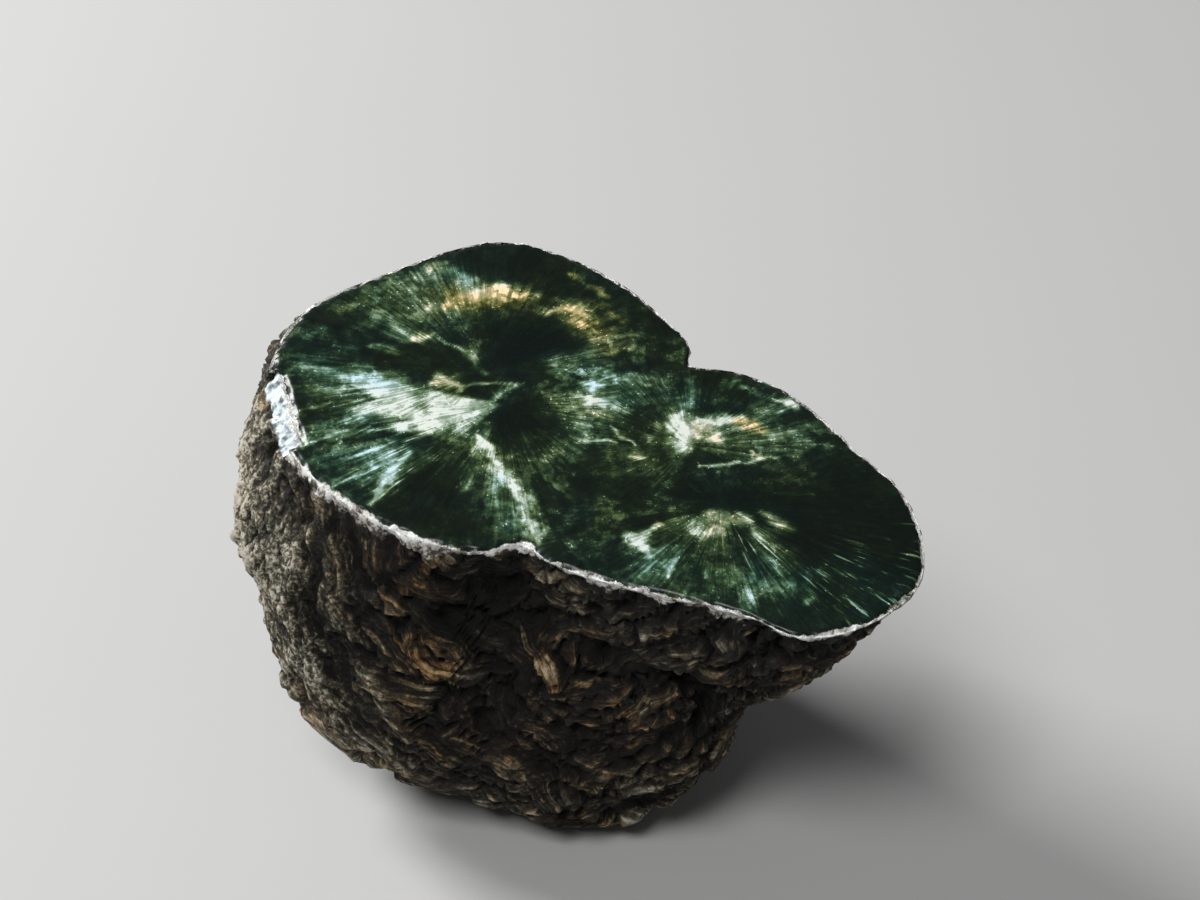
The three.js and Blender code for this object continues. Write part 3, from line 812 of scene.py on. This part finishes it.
def skin_height(points, plates, flakes):
    """How far each point of the skin stands out from the smooth form, and how deep in a gap it is."""
    shifted = skin_wander(points)
    plate, plate_gap = plate_height(plates, shifted)
    flake, flake_gap = plate_height(flakes, shifted)
    owner, _, _ = nearest_plates(plates, shifted)
    along, across, _ = in_plate(plates, owner, shifted)
    fibre_points = (along * FIBRE_WAVES_PER_MM, across / FIBRE_PITCH, plates["seed"][owner])
    fibres = FIBRE_HEIGHT * noise(np.stack(fibre_points, axis=1), SEEDS["fibres"])
    on_left = left_share(points)
    grain_height = GRAIN_HEIGHT + (LEFT_GRAIN_HEIGHT - GRAIN_HEIGHT) * on_left
    grain = grain_height * layered_noise(points / GRAIN_SIZE, 3, SEEDS["grain"])
    shell = shell_share(points)
    from_shell = np.hypot(points[:, 0] - SHELL_MIDDLE[0], points[:, 2] - SHELL_MIDDLE[2])
    wander = ARC_WANDER * noise(points / ARC_WAVE, SEEDS["arcs"])
    arcs = ARC_HEIGHT * shell * np.sin(2 * math.pi * from_shell / ARC_PITCH + wander)
    flatter = (1 - (1 - LEFT_PLATES) * on_left) * (1 - (1 - SHELL_PLATES) * shell)
    height = flatter * (plate + fibres) + flake + arcs + grain
    return np.minimum(height, HIGHEST_RELIEF), np.maximum(plate_gap, FLAKE_GAP_SHARE * flake_gap)


def left_share(points):
    """1 on the stone's grainy left side and 0 elsewhere."""
    on_left = 1 - smoothstep(*LEFT_SIDE, points[:, 0] + LEFT_LEAN * points[:, 1])
    return on_left * smoothstep(*LEFT_RISE, points[:, 2])


def bevel_share(points):
    """1 on the small bevel at the left of the cut and 0 elsewhere, and how far along it each point is."""
    offset = points - CUT_CENTRE - BEVEL_MIDDLE[0] * CUT_U - BEVEL_MIDDLE[1] * CUT_V
    outward = math.cos(BEVEL_FACING) * CUT_U + math.sin(BEVEL_FACING) * CUT_V
    sideways = -math.sin(BEVEL_FACING) * CUT_U + math.cos(BEVEL_FACING) * CUT_V
    facing = math.sin(BEVEL_DROP) * outward + math.cos(BEVEL_DROP) * CUT_NORMAL
    close = 1 - smoothstep(*BEVEL_NEAR, np.abs(offset @ facing))
    downwards = math.cos(BEVEL_DROP) * outward - math.sin(BEVEL_DROP) * CUT_NORMAL
    below_edge = offset @ downwards + BEVEL_WANDER * noise(points, SEEDS["bevel"])
    close *= 1 - smoothstep(BEVEL_WIDTH - BEVEL_FADE, BEVEL_WIDTH + BEVEL_FADE, below_edge)
    along_bevel = offset @ sideways
    return close * (1 - smoothstep(*BEVEL_ENDS, np.abs(along_bevel) / BEVEL_LENGTH)), along_bevel


# The pattern of the cut

def on_cut(points):
    """U and V of points on the cut."""
    offset = points - CUT_CENTRE
    return np.stack((offset @ CUT_U, offset @ CUT_V), axis=1)


def nearest_fan(flat):
    """For each point of the cut, the middle of the fan that it belongs to."""
    size, amount = FAN_WOBBLE
    wobble = layered_noise(np.column_stack((flat / size, np.zeros(len(flat)))), 3, SEEDS["fans"]) * amount
    middles = np.array(list(FANS.values()))
    distance = np.linalg.norm(flat[:, None] - middles, axis=2)
    distance[:, 0] += wobble
    distance[:, 2] -= wobble
    return np.argmin(distance, axis=1)


def seen_from_fan(flat, fan):
    """How far each point of the cut is from a fan's middle, in which direction, and an unevenness."""
    offset = flat - np.array(FANS[fan])
    radius = np.linalg.norm(offset, axis=1)
    turn = np.degrees(np.arctan2(offset[:, 1], offset[:, 0]))
    places = np.column_stack((turn / RAGGED_ROUND, radius * RAGGED_ALONG, 0 * radius))
    return radius, turn, noise(places, SEEDS["rays"])


def ray_share(seen, pointing, spread, begins, ends):
    """How much of a ray each point of the cut has."""
    radius, turn, ragged = seen
    away = np.abs((turn - pointing + 180) % 360 - 180) / spread
    sides = 1 - smoothstep(*RAY_SIDES, away + RAY_RAGGED[0] * ragged)
    inner = smoothstep(begins - RAY_SOFTNESS, begins + RAY_SOFTNESS, radius)
    fades = begins + (ends - begins) * RAY_FADE[0]
    outer = 1 - smoothstep(fades, ends * RAY_FADE[1], radius + RAY_RAGGED[1] * ragged)
    return sides * inner * outer


def stroke_share(flat, ragged, line, first_width, last_width):
    """How much of a stroke each point of the cut has."""
    line = np.array(line, float)
    steps = np.diff(line, axis=0)
    lengths = np.linalg.norm(steps, axis=1)
    begins = np.concatenate(([0], np.cumsum(lengths)))[:-1]
    best = np.full(len(flat), np.inf)
    where = np.zeros(len(flat))
    for start, step, length, before in zip(line[:-1], steps, lengths, begins):
        along = np.clip(((flat - start) @ step) / length**2, 0, 1)
        distance = np.linalg.norm(flat - start - along[:, None] * step, axis=1)
        closer = distance < best
        best = np.where(closer, distance, best)
        where = np.where(closer, (before + along * length) / lengths.sum(), where)
    narrow, bulge = STROKE_WIDTHS
    width = (first_width + (last_width - first_width) * where) * (narrow + bulge * np.sin(math.pi * where))
    return np.exp(-((np.maximum(best / width + ragged, 0)) ** 2))


def cut_tones(flat):
    """How much light each point of the cut has beyond the ground's, from painted sheen and reflections and
    from its paler green, and how warm and how cool it is.
    """
    dark = np.ones(len(flat))
    gaps = np.ones(len(flat))
    tints = np.zeros((2, len(flat)))
    level = np.zeros(len(flat))
    size, amount = STROKE_WANDER
    seeds = SEEDS["wander"]
    wander = [layered_noise(np.column_stack((flat / size, level + seed)), 2, seed) for seed in seeds]
    wandered = flat + amount * np.column_stack(wander)
    ragged = STROKE_RAGGED * noise(np.column_stack((flat * STROKE_RAGS_PER_MM, level)), SEEDS["strokes"])
    seen = {fan: seen_from_fan(flat, fan) for fan in FANS}
    shares = []
    for fan, rays in RAYS.items():
        shares += [(ray_share(seen[fan], *ray), kind, strength) for *ray, kind, strength in rays]
    for kind, strokes in STROKES.items():
        shares += [(stroke_share(wandered, ragged, *line), kind, strength) for *line, strength in strokes]
    for share, kind, strength in shares:
        light, warm, cool = KINDS[kind]
        if light < 0:
            dark *= 1 + light * strength * share
        else:
            gaps *= 1 - np.minimum(light * strength * share, STRONGEST_STROKE)
        tints[0] = np.maximum(tints[0], warm * share)
        tints[1] = np.maximum(tints[1], cool * share)
    comb = np.max([ray_share(seen[fan], *ray) for fan, *ray in COMBS], axis=0)
    light = (1 - gaps) * (LIGHT_IN_DARK + (1 - LIGHT_IN_DARK) * dark)
    return {"light": light, "dark": 1 - dark, "warm": tints[0], "cool": tints[1], "comb": comb}


# The mesh

def make_grids():
    """The cut's and the skin's grids of points, and each point's distance from the edge."""
    rings, turns = square_grid()
    edge = cut_edge()
    grids = []
    for profile in (cut_profile, skin_profile):
        profiles = [profile(point) for point in edge]
        points = from_profiles(np.array([points for points, _ in profiles]), rings, turns)
        lengths = from_profiles(np.array([lengths for _, lengths in profiles])[..., None], rings, turns)
        grids.append((points, lengths.ravel()))
    return grids


def rim_width(points):
    """The width of the pale line along the edge, near each point."""
    return RIM_BACK + (RIM_FRONT - RIM_BACK) * smoothstep(*RIM_TURN, points[:, 1])


def edge_drop(points, distance):
    """How far the broken edge lies below the plane of the cut."""
    uneven = layered_noise(points / EDGE_DROP_WAVE, 3, SEEDS["edge"])
    rough = np.clip(EDGE_DROP_MEAN + EDGE_DROP_UNEVENNESS * uneven, *EDGE_DROP_LIMITS)
    return EDGE_DROP * rough * (1 - smoothstep(0.0, EDGE_RINGS[-1], distance))


def make_cut(grid, distance):
    """The cut's points, with their edge broken off, and what the material needs at each."""
    points = grid.reshape(-1, 3)
    values = cut_tones(on_cut(points))
    points = points - edge_drop(points, distance)[:, None] * CUT_NORMAL
    values["edge"] = distance / rim_width(points)
    return points, values


def make_skin(grid, distance):
    """The skin's points, with flakes and the bevel's ribs, what the material needs, and the plates."""
    generator = np.random.default_rng(PLATE_SEED)
    grid = smoothed(grid, SMOOTHING_ROUNDS)
    smooth_points = grid.reshape(-1, 3)
    normals = grid_normals(grid).reshape(-1, 3)
    if (normals * (smooth_points - NODULE_MIDDLE)).sum() < 0:
        normals = -normals
    plates = make_plates(PLATES, smooth_points, normals, generator)
    flakes = make_plates(FLAKES, smooth_points, normals, generator)
    height, in_gap = skin_height(smooth_points, plates, flakes)
    bevel, along_bevel = bevel_share(smooth_points)
    fade = smoothstep(*SKIN_FADE, distance) * smoothstep(*REST_FADE, smooth_points[:, 2]) * (1 - bevel)
    ribs = BEVEL_RIB_HEIGHT * np.sin(2 * math.pi * along_bevel / BEVEL_RIB_PITCH)
    points = smooth_points + (fade * height + bevel * ribs)[:, None] * normals
    points[:, 2] = np.maximum(points[:, 2], 0)
    broad_form = smoothed(grid, HOLLOW_ROUNDS).reshape(-1, 3)
    # relief, hollow and gap also drive the skin's painted light and shade: lighter where it stands out,
    # darker in its hollows and gaps.
    values = {
        "edge": -distance / rim_width(smooth_points),
        "bevel": bevel,
        "left": left_share(points),
        "relief": fade * height,
        "hollow": ((smooth_points - broad_form) * normals).sum(axis=1),
        "gap": in_gap,
        "rust": near_places(points, RUSTY_PLACES),
        "shade": near_places(points, PAINTED_SHADE_PLACES),
    }
    return points, values, plates


def quads(index):
    """The faces of a grid, from the numbers of its points."""
    corners = (index[:-1, :-1], index[1:, :-1], index[1:, 1:], index[:-1, 1:])
    return np.stack([corner.ravel() for corner in corners], axis=1)


def build_stone():
    """The stone's mesh, with what its material needs stored on it."""
    cut_grid, skin_grid = make_grids()
    cut_points, cut_values = make_cut(*cut_grid)
    skin_points, skin_values, plates = make_skin(*skin_grid)

    # The skin's points on the edge are the cut's, so the two grids share them.
    side = GRID + 1
    cut_index = np.arange(side * side).reshape(side, side)
    inner = np.zeros((side, side), bool)
    inner[1:-1, 1:-1] = True
    skin_index = cut_index.copy()
    skin_index[inner] = side * side + np.arange(inner.sum())
    inner = inner.ravel()
    cut_quads = quads(cut_index)
    faces = np.concatenate((cut_quads, quads(skin_index)[:, ::-1]))
    points = np.concatenate((cut_points, skin_points[inner]))

    mesh = bpy.data.meshes.new("stone")
    mesh.from_pydata((points * MM).tolist(), [], faces.tolist())
    nothing = np.zeros(side * side)
    for name in {**cut_values, **skin_values}:
        values = (cut_values.get(name, nothing), skin_values.get(name, nothing)[inner])
        store(mesh, "FLOAT", name, np.concatenate(values))
    store_fibres(mesh, points, faces, len(cut_quads), plates)
    mesh.shade_smooth()
    mesh.validate()
    return mesh


def near_places(points, places):
    """How near each point of the skin is to any of the places, from 0 to 1."""
    share = np.zeros(len(points))
    for middle, reach in places:
        share = np.maximum(share, np.exp(-((np.linalg.norm(points - middle, axis=1) / reach) ** 2)))
    return share


def store(mesh, kind, name, values, domain="POINT"):
    """Stores one number or vector for each point or face corner."""
    attribute = mesh.attributes.new(name, kind, domain)
    attribute.data.foreach_set("value" if kind == "FLOAT" else "vector", values.ravel().astype(np.float32))


def store_fibres(mesh, points, faces, cut_count, plates):
    """Stores where each face corner lies in its fan or its plate, so that fibres can be drawn there."""
    middles = points[faces].mean(axis=1)
    fibres = np.zeros((len(faces), 4, 3))
    flat_middles = on_cut(middles[:cut_count])
    fan = nearest_fan(flat_middles)
    centres = np.array(list(FANS.values()))[fan]
    for corner in range(4):
        flat = on_cut(points[faces[:cut_count, corner]])
        fibres[:cut_count, corner, :2] = flat - centres
        fibres[:cut_count, corner, 2] = fan * 7.0
    owner, _, _ = nearest_plates(plates, skin_wander(middles[cut_count:]))
    for corner in range(4):
        along, across, _ = in_plate(plates, owner, skin_wander(points[faces[cut_count:, corner]]))
        fibres[cut_count:, corner, 0] = along
        fibres[cut_count:, corner, 1] = across
        fibres[cut_count:, corner, 2] = plates["seed"][owner]
    store(mesh, "FLOAT_VECTOR", "fibre", fibres, "CORNER")


# Materials

class Value:
    """A node's output that can be added, subtracted and multiplied like a number."""

    def __init__(self, nodes, socket):
        self.nodes = nodes
        self.socket = socket

    def __add__(self, other):
        return self.nodes.maths("ADD", self, other)

    def __sub__(self, other):
        return self.nodes.maths("SUBTRACT", self, other)

    def __rsub__(self, other):
        return self.nodes.maths("SUBTRACT", other, self)

    def __mul__(self, other):
        return self.nodes.maths("MULTIPLY", self, other)


class Nodes:
    """Builds a material's nodes with short calls. Inputs may be numbers, colours or other nodes' outputs."""

    def __init__(self, name):
        self.material = bpy.data.materials.new(name)
        self.material.use_nodes = True
        self.tree = self.material.node_tree
        self.tree.nodes.clear()

    def add(self, kind, inputs, output=0, **settings):
        """Makes a node, and returns one of its outputs."""
        node = self.tree.nodes.new(kind)
        for key, value in settings.items():
            setattr(node, key, value)
        for key, value in inputs.items():
            self.join(value, node.inputs[key])
        return Value(self, node.outputs[output])

    def join(self, value, socket):
        if isinstance(value, Value):
            self.tree.links.new(value.socket, socket)
        elif isinstance(value, tuple) and socket.type == "RGBA":
            socket.default_value = (*value, 1.0)
        else:
            socket.default_value = value

    def finish(self, shader):
        """Ends the material with this shader, and returns it."""
        output = self.tree.nodes.new("ShaderNodeOutputMaterial")
        self.join(shader, output.inputs["Surface"])
        return self.material

    def maths(self, operation, first, second=0.0, clamp=False):
        return self.add("ShaderNodeMath", {0: first, 1: second}, operation=operation, use_clamp=clamp)

    def clamped_sum(self, first, second):
        return self.maths("ADD", first, second, clamp=True)

    def ramp(self, value, low, high, to_low=0.0, to_high=1.0):
        inputs = {"Value": value, "From Min": low, "From Max": high, "To Min": to_low, "To Max": to_high}
        return self.add("ShaderNodeMapRange", inputs, interpolation_type="SMOOTHSTEP")

    def uneven(self, value, *ramps):
        """A value that several noises make stronger and weaker, each with its range and its effect."""
        for ramp in ramps:
            value = value * self.ramp(*ramp)
        return value

    def blend(self, share, first, second):
        return self.add("ShaderNodeMix", {0: share, 2: first, 3: second}, data_type="FLOAT")

    def mix(self, share, first, second, **settings):
        return self.add("ShaderNodeMix", {0: share, 6: first, 7: second}, 2, data_type="RGBA", **settings)

    def tint(self, share, colour, tint):
        return self.mix(share, colour, tint, blend_type="MULTIPLY", clamp_factor=True)

    def noise(self, vector, scale, detail=3.0, roughness=0.5, output=0):
        inputs = {"Vector": vector, "Scale": scale, "Detail": detail, "Roughness": roughness}
        return self.add("ShaderNodeTexNoise", inputs, output)

    def stored(self, name):
        return self.add("ShaderNodeAttribute", {}, 2, attribute_name=name)

    def stored_vector(self, name):
        return self.split(self.add("ShaderNodeAttribute", {}, 1, attribute_name=name))

    def colour_ramp(self, value, stops):
        node = self.tree.nodes.new("ShaderNodeValToRGB")
        elements = node.color_ramp.elements
        while len(elements) < len(stops):
            elements.new(0.5)
        for element, (position, colour) in zip(elements, stops):
            element.position = position
            element.color = (*colour, 1.0)
        self.join(value, node.inputs[0])
        return Value(self, node.outputs[0])

    def vector(self, x, y, z):
        return self.add("ShaderNodeCombineXYZ", {0: x, 1: y, 2: z})

    def split(self, vector):
        node = self.tree.nodes.new("ShaderNodeSeparateXYZ")
        self.join(vector, node.inputs[0])
        return [Value(self, output) for output in node.outputs]

    def shift(self, vector, offset):
        return self.add("ShaderNodeVectorMath", {0: vector, 1: offset})

    def scale(self, vector, factor):
        return self.add("ShaderNodeVectorMath", {0: vector, "Scale": factor}, operation="SCALE")

    def bump(self, height, strength, depth):
        return self.add("ShaderNodeBump", {"Strength": strength, "Distance": depth * MM, "Height": height})

    def principled(self, colour, roughness, specular, **others):
        inputs = {"Base Color": colour, "Roughness": roughness, "Specular IOR Level": specular, **others}
        return self.add("ShaderNodeBsdfPrincipled", inputs)

    def mix_shaders(self, share, first, second):
        return self.add("ShaderNodeMixShader", {0: share, 1: first, 2: second})

    def millimetres(self):
        """The place on the object, in millimetres."""
        return self.scale(self.add("ShaderNodeTexCoord", {}, 3), 1 / MM)


def fan_streaks(nodes, place):
    """Coarse and fine streaks from each fan's middle, a painted sheen for each bundle of fibres, and the
    distance.
    """
    x, y, seed = nodes.stored_vector("fibre")
    radius = nodes.maths("SQRT", x * x + y * y)
    safe = nodes.maths("MAXIMUM", radius, SMALLEST_RADIUS)
    way_x = nodes.maths("DIVIDE", x, safe)
    way_y = nodes.maths("DIVIDE", y, safe)

    def around(turns, lengthwise):
        """A place in a noise that changes round the fan and, more slowly, along its fibres."""
        return nodes.vector(way_x * turns, way_y * turns, radius * lengthwise + seed)

    coarse = nodes.noise(around(*COARSE_STREAKS), *STREAK_NOISE)
    fine = nodes.noise(around(*FINE_STREAKS), *STREAK_NOISE)
    cloud = nodes.noise(place, FACET_WAVES_PER_MM, output=1)
    wander = nodes.scale(nodes.shift(cloud, (-0.5, -0.5, -0.5)), FACET_WANDER)
    cells = {"Vector": nodes.shift(around(*FACETS), wander), "Scale": 1.0}
    facet_sheen = nodes.split(nodes.add("ShaderNodeTexVoronoi", cells, 1))[0]
    return coarse, fine, facet_sheen, radius


def cut_shader(nodes, place):
    """The smooth cut: a near-black green ground with green fans of fibres and their painted silvery sheen.
    """
    coarse, fine, facet_sheen, radius = fan_streaks(nodes, place)
    streak = nodes.blend(0.6, coarse, fine)
    cloud = nodes.noise(place, *CUT_CLOUDS)
    mottle = nodes.noise(place, *CUT_MOTTLE)
    patch = nodes.noise(nodes.shift(place, (9.0, 5.0, 2.0)), *CUT_PATCHES)
    # The ground is uneven from noises and from a painted sheen that changes from one bundle of fibres to the
    # next.
    ground = nodes.uneven(
        (1.0 - nodes.stored("dark")) * CUT_BASE,
        (cloud, 0.36, 0.64, 0.45, 1.6),
        (mottle, 0.34, 0.66, 0.45, 1.4),
        (patch, 0.40, 0.60, 0.55, 1.35),
        (streak, 0.36, 0.64, 0.8, 1.2),
        (facet_sheen, 0.1, 0.9, 0.65, 1.4),
    )
    # The painted sheen and the paler green of the drawn fans are silky: streaked away from their middles,
    # and calmer where they are brightest.
    drawn = nodes.stored("light")
    silky = nodes.ramp(streak, 0.36, 0.64, 0.5, 1.2)
    silky = nodes.uneven(
        nodes.blend(nodes.ramp(radius, 0.7, 2.6), 0.95, silky),
        (mottle, 0.34, 0.66, 0.72, 1.16),
        (patch, 0.38, 0.60, 0.8, 1.16),
        (facet_sheen, 0.1, 0.9, 0.86, 1.08),
    )
    silky = nodes.blend(nodes.ramp(drawn, 0.55, 1.05, 0.0, 0.6), silky, 0.96)
    light = ground + drawn * silky
    # Fine lines of painted sheen along the fibres, where the combs are.
    light += nodes.ramp(fine, 0.55, 0.68) * nodes.stored("comb") * COMB_SHEEN
    # Painted glints: tiny bright specks, stronger where the cut is already bright.
    painted_glints = nodes.ramp(nodes.noise(place, *CUT_GLINTS), 0.62, 0.74)
    light = nodes.clamped_sum(light, painted_glints * nodes.ramp(light, 0.05, 0.5, 0.14, 0.6))

    hues = nodes.mix(nodes.ramp(nodes.noise(place, *CUT_HUES), 0.38, 0.62), BLUE_GREEN, YELLOW_GREEN)
    colour = nodes.colour_ramp(light, CUT_COLOURS)
    colour = nodes.tint(nodes.ramp(light, 0.4, 0.8, 0.85, 0.1), colour, hues)
    # Warm tints for the painted tawny reflections and creamy sheen, a cool tint for the painted bluish
    # sheen.
    colour = nodes.tint(nodes.stored("warm"), colour, WARM_TINT)
    colour = nodes.tint(nodes.stored("cool"), colour, COOL_TINT)
    normal = nodes.bump(fine * 0.7 + mottle * 0.6, *CUT_BUMP)
    return nodes.principled(colour, nodes.ramp(fine, 0.3, 0.7, 0.2, 0.32), 0.25, Normal=normal)


def skin_shader(nodes, place):
    """The rough skin: brown, fibrous and rusty in places, and pale grey on the left. Painted shade blackens
    its gaps, hollows and shaded places, and painted light brightens its rises and the upper left.
    """
    along, across, seed = nodes.stored_vector("fibre")
    fibre_place = nodes.vector(along * STRANDS_ALONG, across * STRANDS_ACROSS, seed)
    strands = nodes.noise(fibre_place, *STRAND_NOISE)
    grain = nodes.noise(place, *SKIN_GRAIN)
    on_left = nodes.stored("left")
    grit = nodes.ramp(grain, 0.34, 0.70)
    texture = nodes.blend(on_left * 0.8, nodes.ramp(strands, 0.36, 0.72), grit)
    texture = nodes.blend(0.3, texture, grit)
    # Painted light and shade: lighter where the skin stands out, darker in its hollows and, just below, in
    # the gaps between its plates.
    form = nodes.stored("relief") + nodes.stored("hollow") * 1.1
    value = texture * 0.55 + nodes.ramp(form, -0.7, 0.85) * 0.45
    value -= nodes.stored("gap") * 0.3
    value = (value - 0.42) * 1.5 + 0.40
    stretches = nodes.noise(nodes.shift(place, (3.0, 1.0, 7.0)), *SKIN_STRETCHES)
    value += nodes.ramp(stretches, 0.38, 0.60, -0.11, 0.08)
    value += nodes.stored("rust") * 0.07
    # Painted shade: the skin is darkened in the places listed for shade.
    value -= nodes.stored("shade") * 0.19
    # Partly painted light: the grainy grey left side is made paler, most of all high up, where the light
    # falls on it.
    value = nodes.clamped_sum(value, on_left * 0.29)

    spots = nodes.ramp(nodes.noise(place, *RUST_SPOTS), 0.36, 0.56, 0.3, 1.1)
    flecks = nodes.ramp(nodes.noise(place, *RUST_FLECKS), 0.56, 0.66, 0.0, 0.8)
    patches = nodes.ramp(nodes.noise(place, *RUST_PATCHES), 0.4, 0.65, -0.1, 0.5)
    rust = nodes.clamped_sum(nodes.stored("rust") * spots, patches + flecks)
    rust = rust * (1.0 - on_left * 0.75)
    colour = nodes.mix(rust, nodes.colour_ramp(value, GREY_COLOURS), nodes.colour_ramp(value, RUSTY_COLOURS))
    normal = nodes.bump(strands + grain * 0.7, *SKIN_BUMP)
    return nodes.principled(colour, nodes.ramp(texture, 0.2, 0.9, 0.75, 0.42), 0.28, Normal=normal)


def edge_shader(nodes, place):
    """The broken edge of the cut: silvery white crystals with brown between them."""
    chips = nodes.noise(place, *EDGE_CHIPS)
    pale = nodes.ramp(nodes.maths("ABSOLUTE", nodes.stored("edge")), 0.1, 1.4, 0.3, -0.15)
    pale += nodes.ramp(nodes.noise(place, *EDGE_STAINS), 0.40, 0.58, -0.34, 0.14)
    colour = nodes.colour_ramp(nodes.ramp(chips, 0.32, 0.60) + pale, EDGE_COLOURS)
    return nodes.principled(colour, 0.38, 0.7, Normal=nodes.bump(chips, *EDGE_BUMP))


def bevel_shader(nodes, place):
    """The ground bevel: silvery and bluish, in bands across it."""
    bands = nodes.noise(place, *BEVEL_BANDS)
    colour = nodes.mix(nodes.ramp(bands, 0.38, 0.60), BEVEL_BLUE, BEVEL_SILVER)
    return nodes.principled(colour, 0.35, 0.6)


def stone_material():
    """One material for the whole stone: the cut, the edge, the bevel and the skin."""
    nodes = Nodes("seraphinite")
    place = nodes.millimetres()
    edge = nodes.stored("edge")
    on_skin = nodes.maths("LESS_THAN", edge, 0.0)
    body = nodes.mix_shaders(on_skin, cut_shader(nodes, place), skin_shader(nodes, place))
    bevel = nodes.ramp(nodes.stored("bevel"), 0.3, 0.7)
    body = nodes.mix_shaders(bevel, body, bevel_shader(nodes, place))
    uneven = nodes.noise(place, *EDGE_RAGS) * 0.5 + nodes.noise(place, *EDGE_WAVES) * 0.5
    above = edge + nodes.ramp(uneven, 0.35, 0.65, -0.35, 0.35)
    below = edge + nodes.ramp(uneven, 0.36, 0.64, 1.0, -0.9)
    rim = nodes.ramp(above, 0.55, 0.35) * nodes.ramp(below, -1.5, -0.9)
    return nodes.finish(nodes.mix_shaders(rim, body, edge_shader(nodes, place)))


def floor_material():
    """A plain pale floor with the faintest unevenness."""
    nodes = Nodes("pale floor")
    cloud = nodes.noise(nodes.millimetres(), *FLOOR_CLOUDS)
    colour = nodes.mix(nodes.ramp(cloud, 0.3, 0.7, 0.0, 0.06), FLOOR_COLOUR, FLOOR_SHADE)
    return nodes.finish(nodes.principled(colour, 0.75, 0.5))


# Objects

def place_object(name, data):
    """Links a new object to the scene."""
    thing = bpy.data.objects.new(name, data)
    bpy.context.scene.collection.objects.link(thing)
    return thing


def make_stone():
    mesh = build_stone()
    mesh.materials.append(stone_material())
    stone = place_object("nodule", mesh)
    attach(stone, "root")
    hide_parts(NODE)


def make_floor():
    half = FLOOR_SIZE / 2 * MM
    mesh = bpy.data.meshes.new("floor")
    corners = [(-half, -half, 0), (half, -half, 0), (half, half, 0), (-half, half, 0)]
    mesh.from_pydata(corners, [], [(0, 1, 2, 3)])
    mesh.materials.append(floor_material())
    place_object("floor", mesh)


def make_camera():
    """A camera at the photograph's angle, with the cut's middle at its pixel."""
    data = bpy.data.cameras.new("camera")
    data.lens = LENS
    data.sensor_width = SENSOR
    data.clip_start = 0.01
    camera = place_object("camera", data)
    right = np.array([1.0, 0, 0])
    up = np.array([0, math.sin(ELEVATION), math.cos(ELEVATION)])
    forward = np.array([0, math.cos(ELEVATION), -math.sin(ELEVATION)])
    distance = MM_PER_PIXEL * PICTURE_WIDTH * LENS / SENSOR
    aside = (CUT_PIXEL[0] - PICTURE_WIDTH / 2) * MM_PER_PIXEL
    above = (PICTURE_HEIGHT / 2 - CUT_PIXEL[1]) * MM_PER_PIXEL
    eye = CUT_CENTRE - distance * forward - aside * right - above * up
    camera.location = eye * MM
    camera.rotation_euler = (math.pi / 2 - ELEVATION, 0, 0)
    bpy.context.scene.camera = camera


def make_light(name, place, size, power):
    """A soft square light that faces the stone."""
    data = bpy.data.lights.new(name, "AREA")
    data.size = size * MM
    data.energy = power
    light = place_object(name, data)
    light.location = Vector(place) * MM
    light.rotation_euler = (-light.location).to_track_quat("-Z", "Y").to_euler()


def make_world():
    world = bpy.data.worlds.new("soft room")
    world.use_nodes = True
    background = world.node_tree.nodes["Background"]
    background.inputs["Color"].default_value = (*WORLD_COLOUR, 1)
    background.inputs["Strength"].default_value = WORLD_STRENGTH
    bpy.context.scene.world = world


make_camera()
make_stone()
make_floor()
make_light("key", KEY_PLACE, KEY_SIZE, KEY_POWER)
make_light("fill", FILL_PLACE, FILL_SIZE, FILL_POWER)
make_world()
bpy.context.scene.view_settings.view_transform = "Standard"
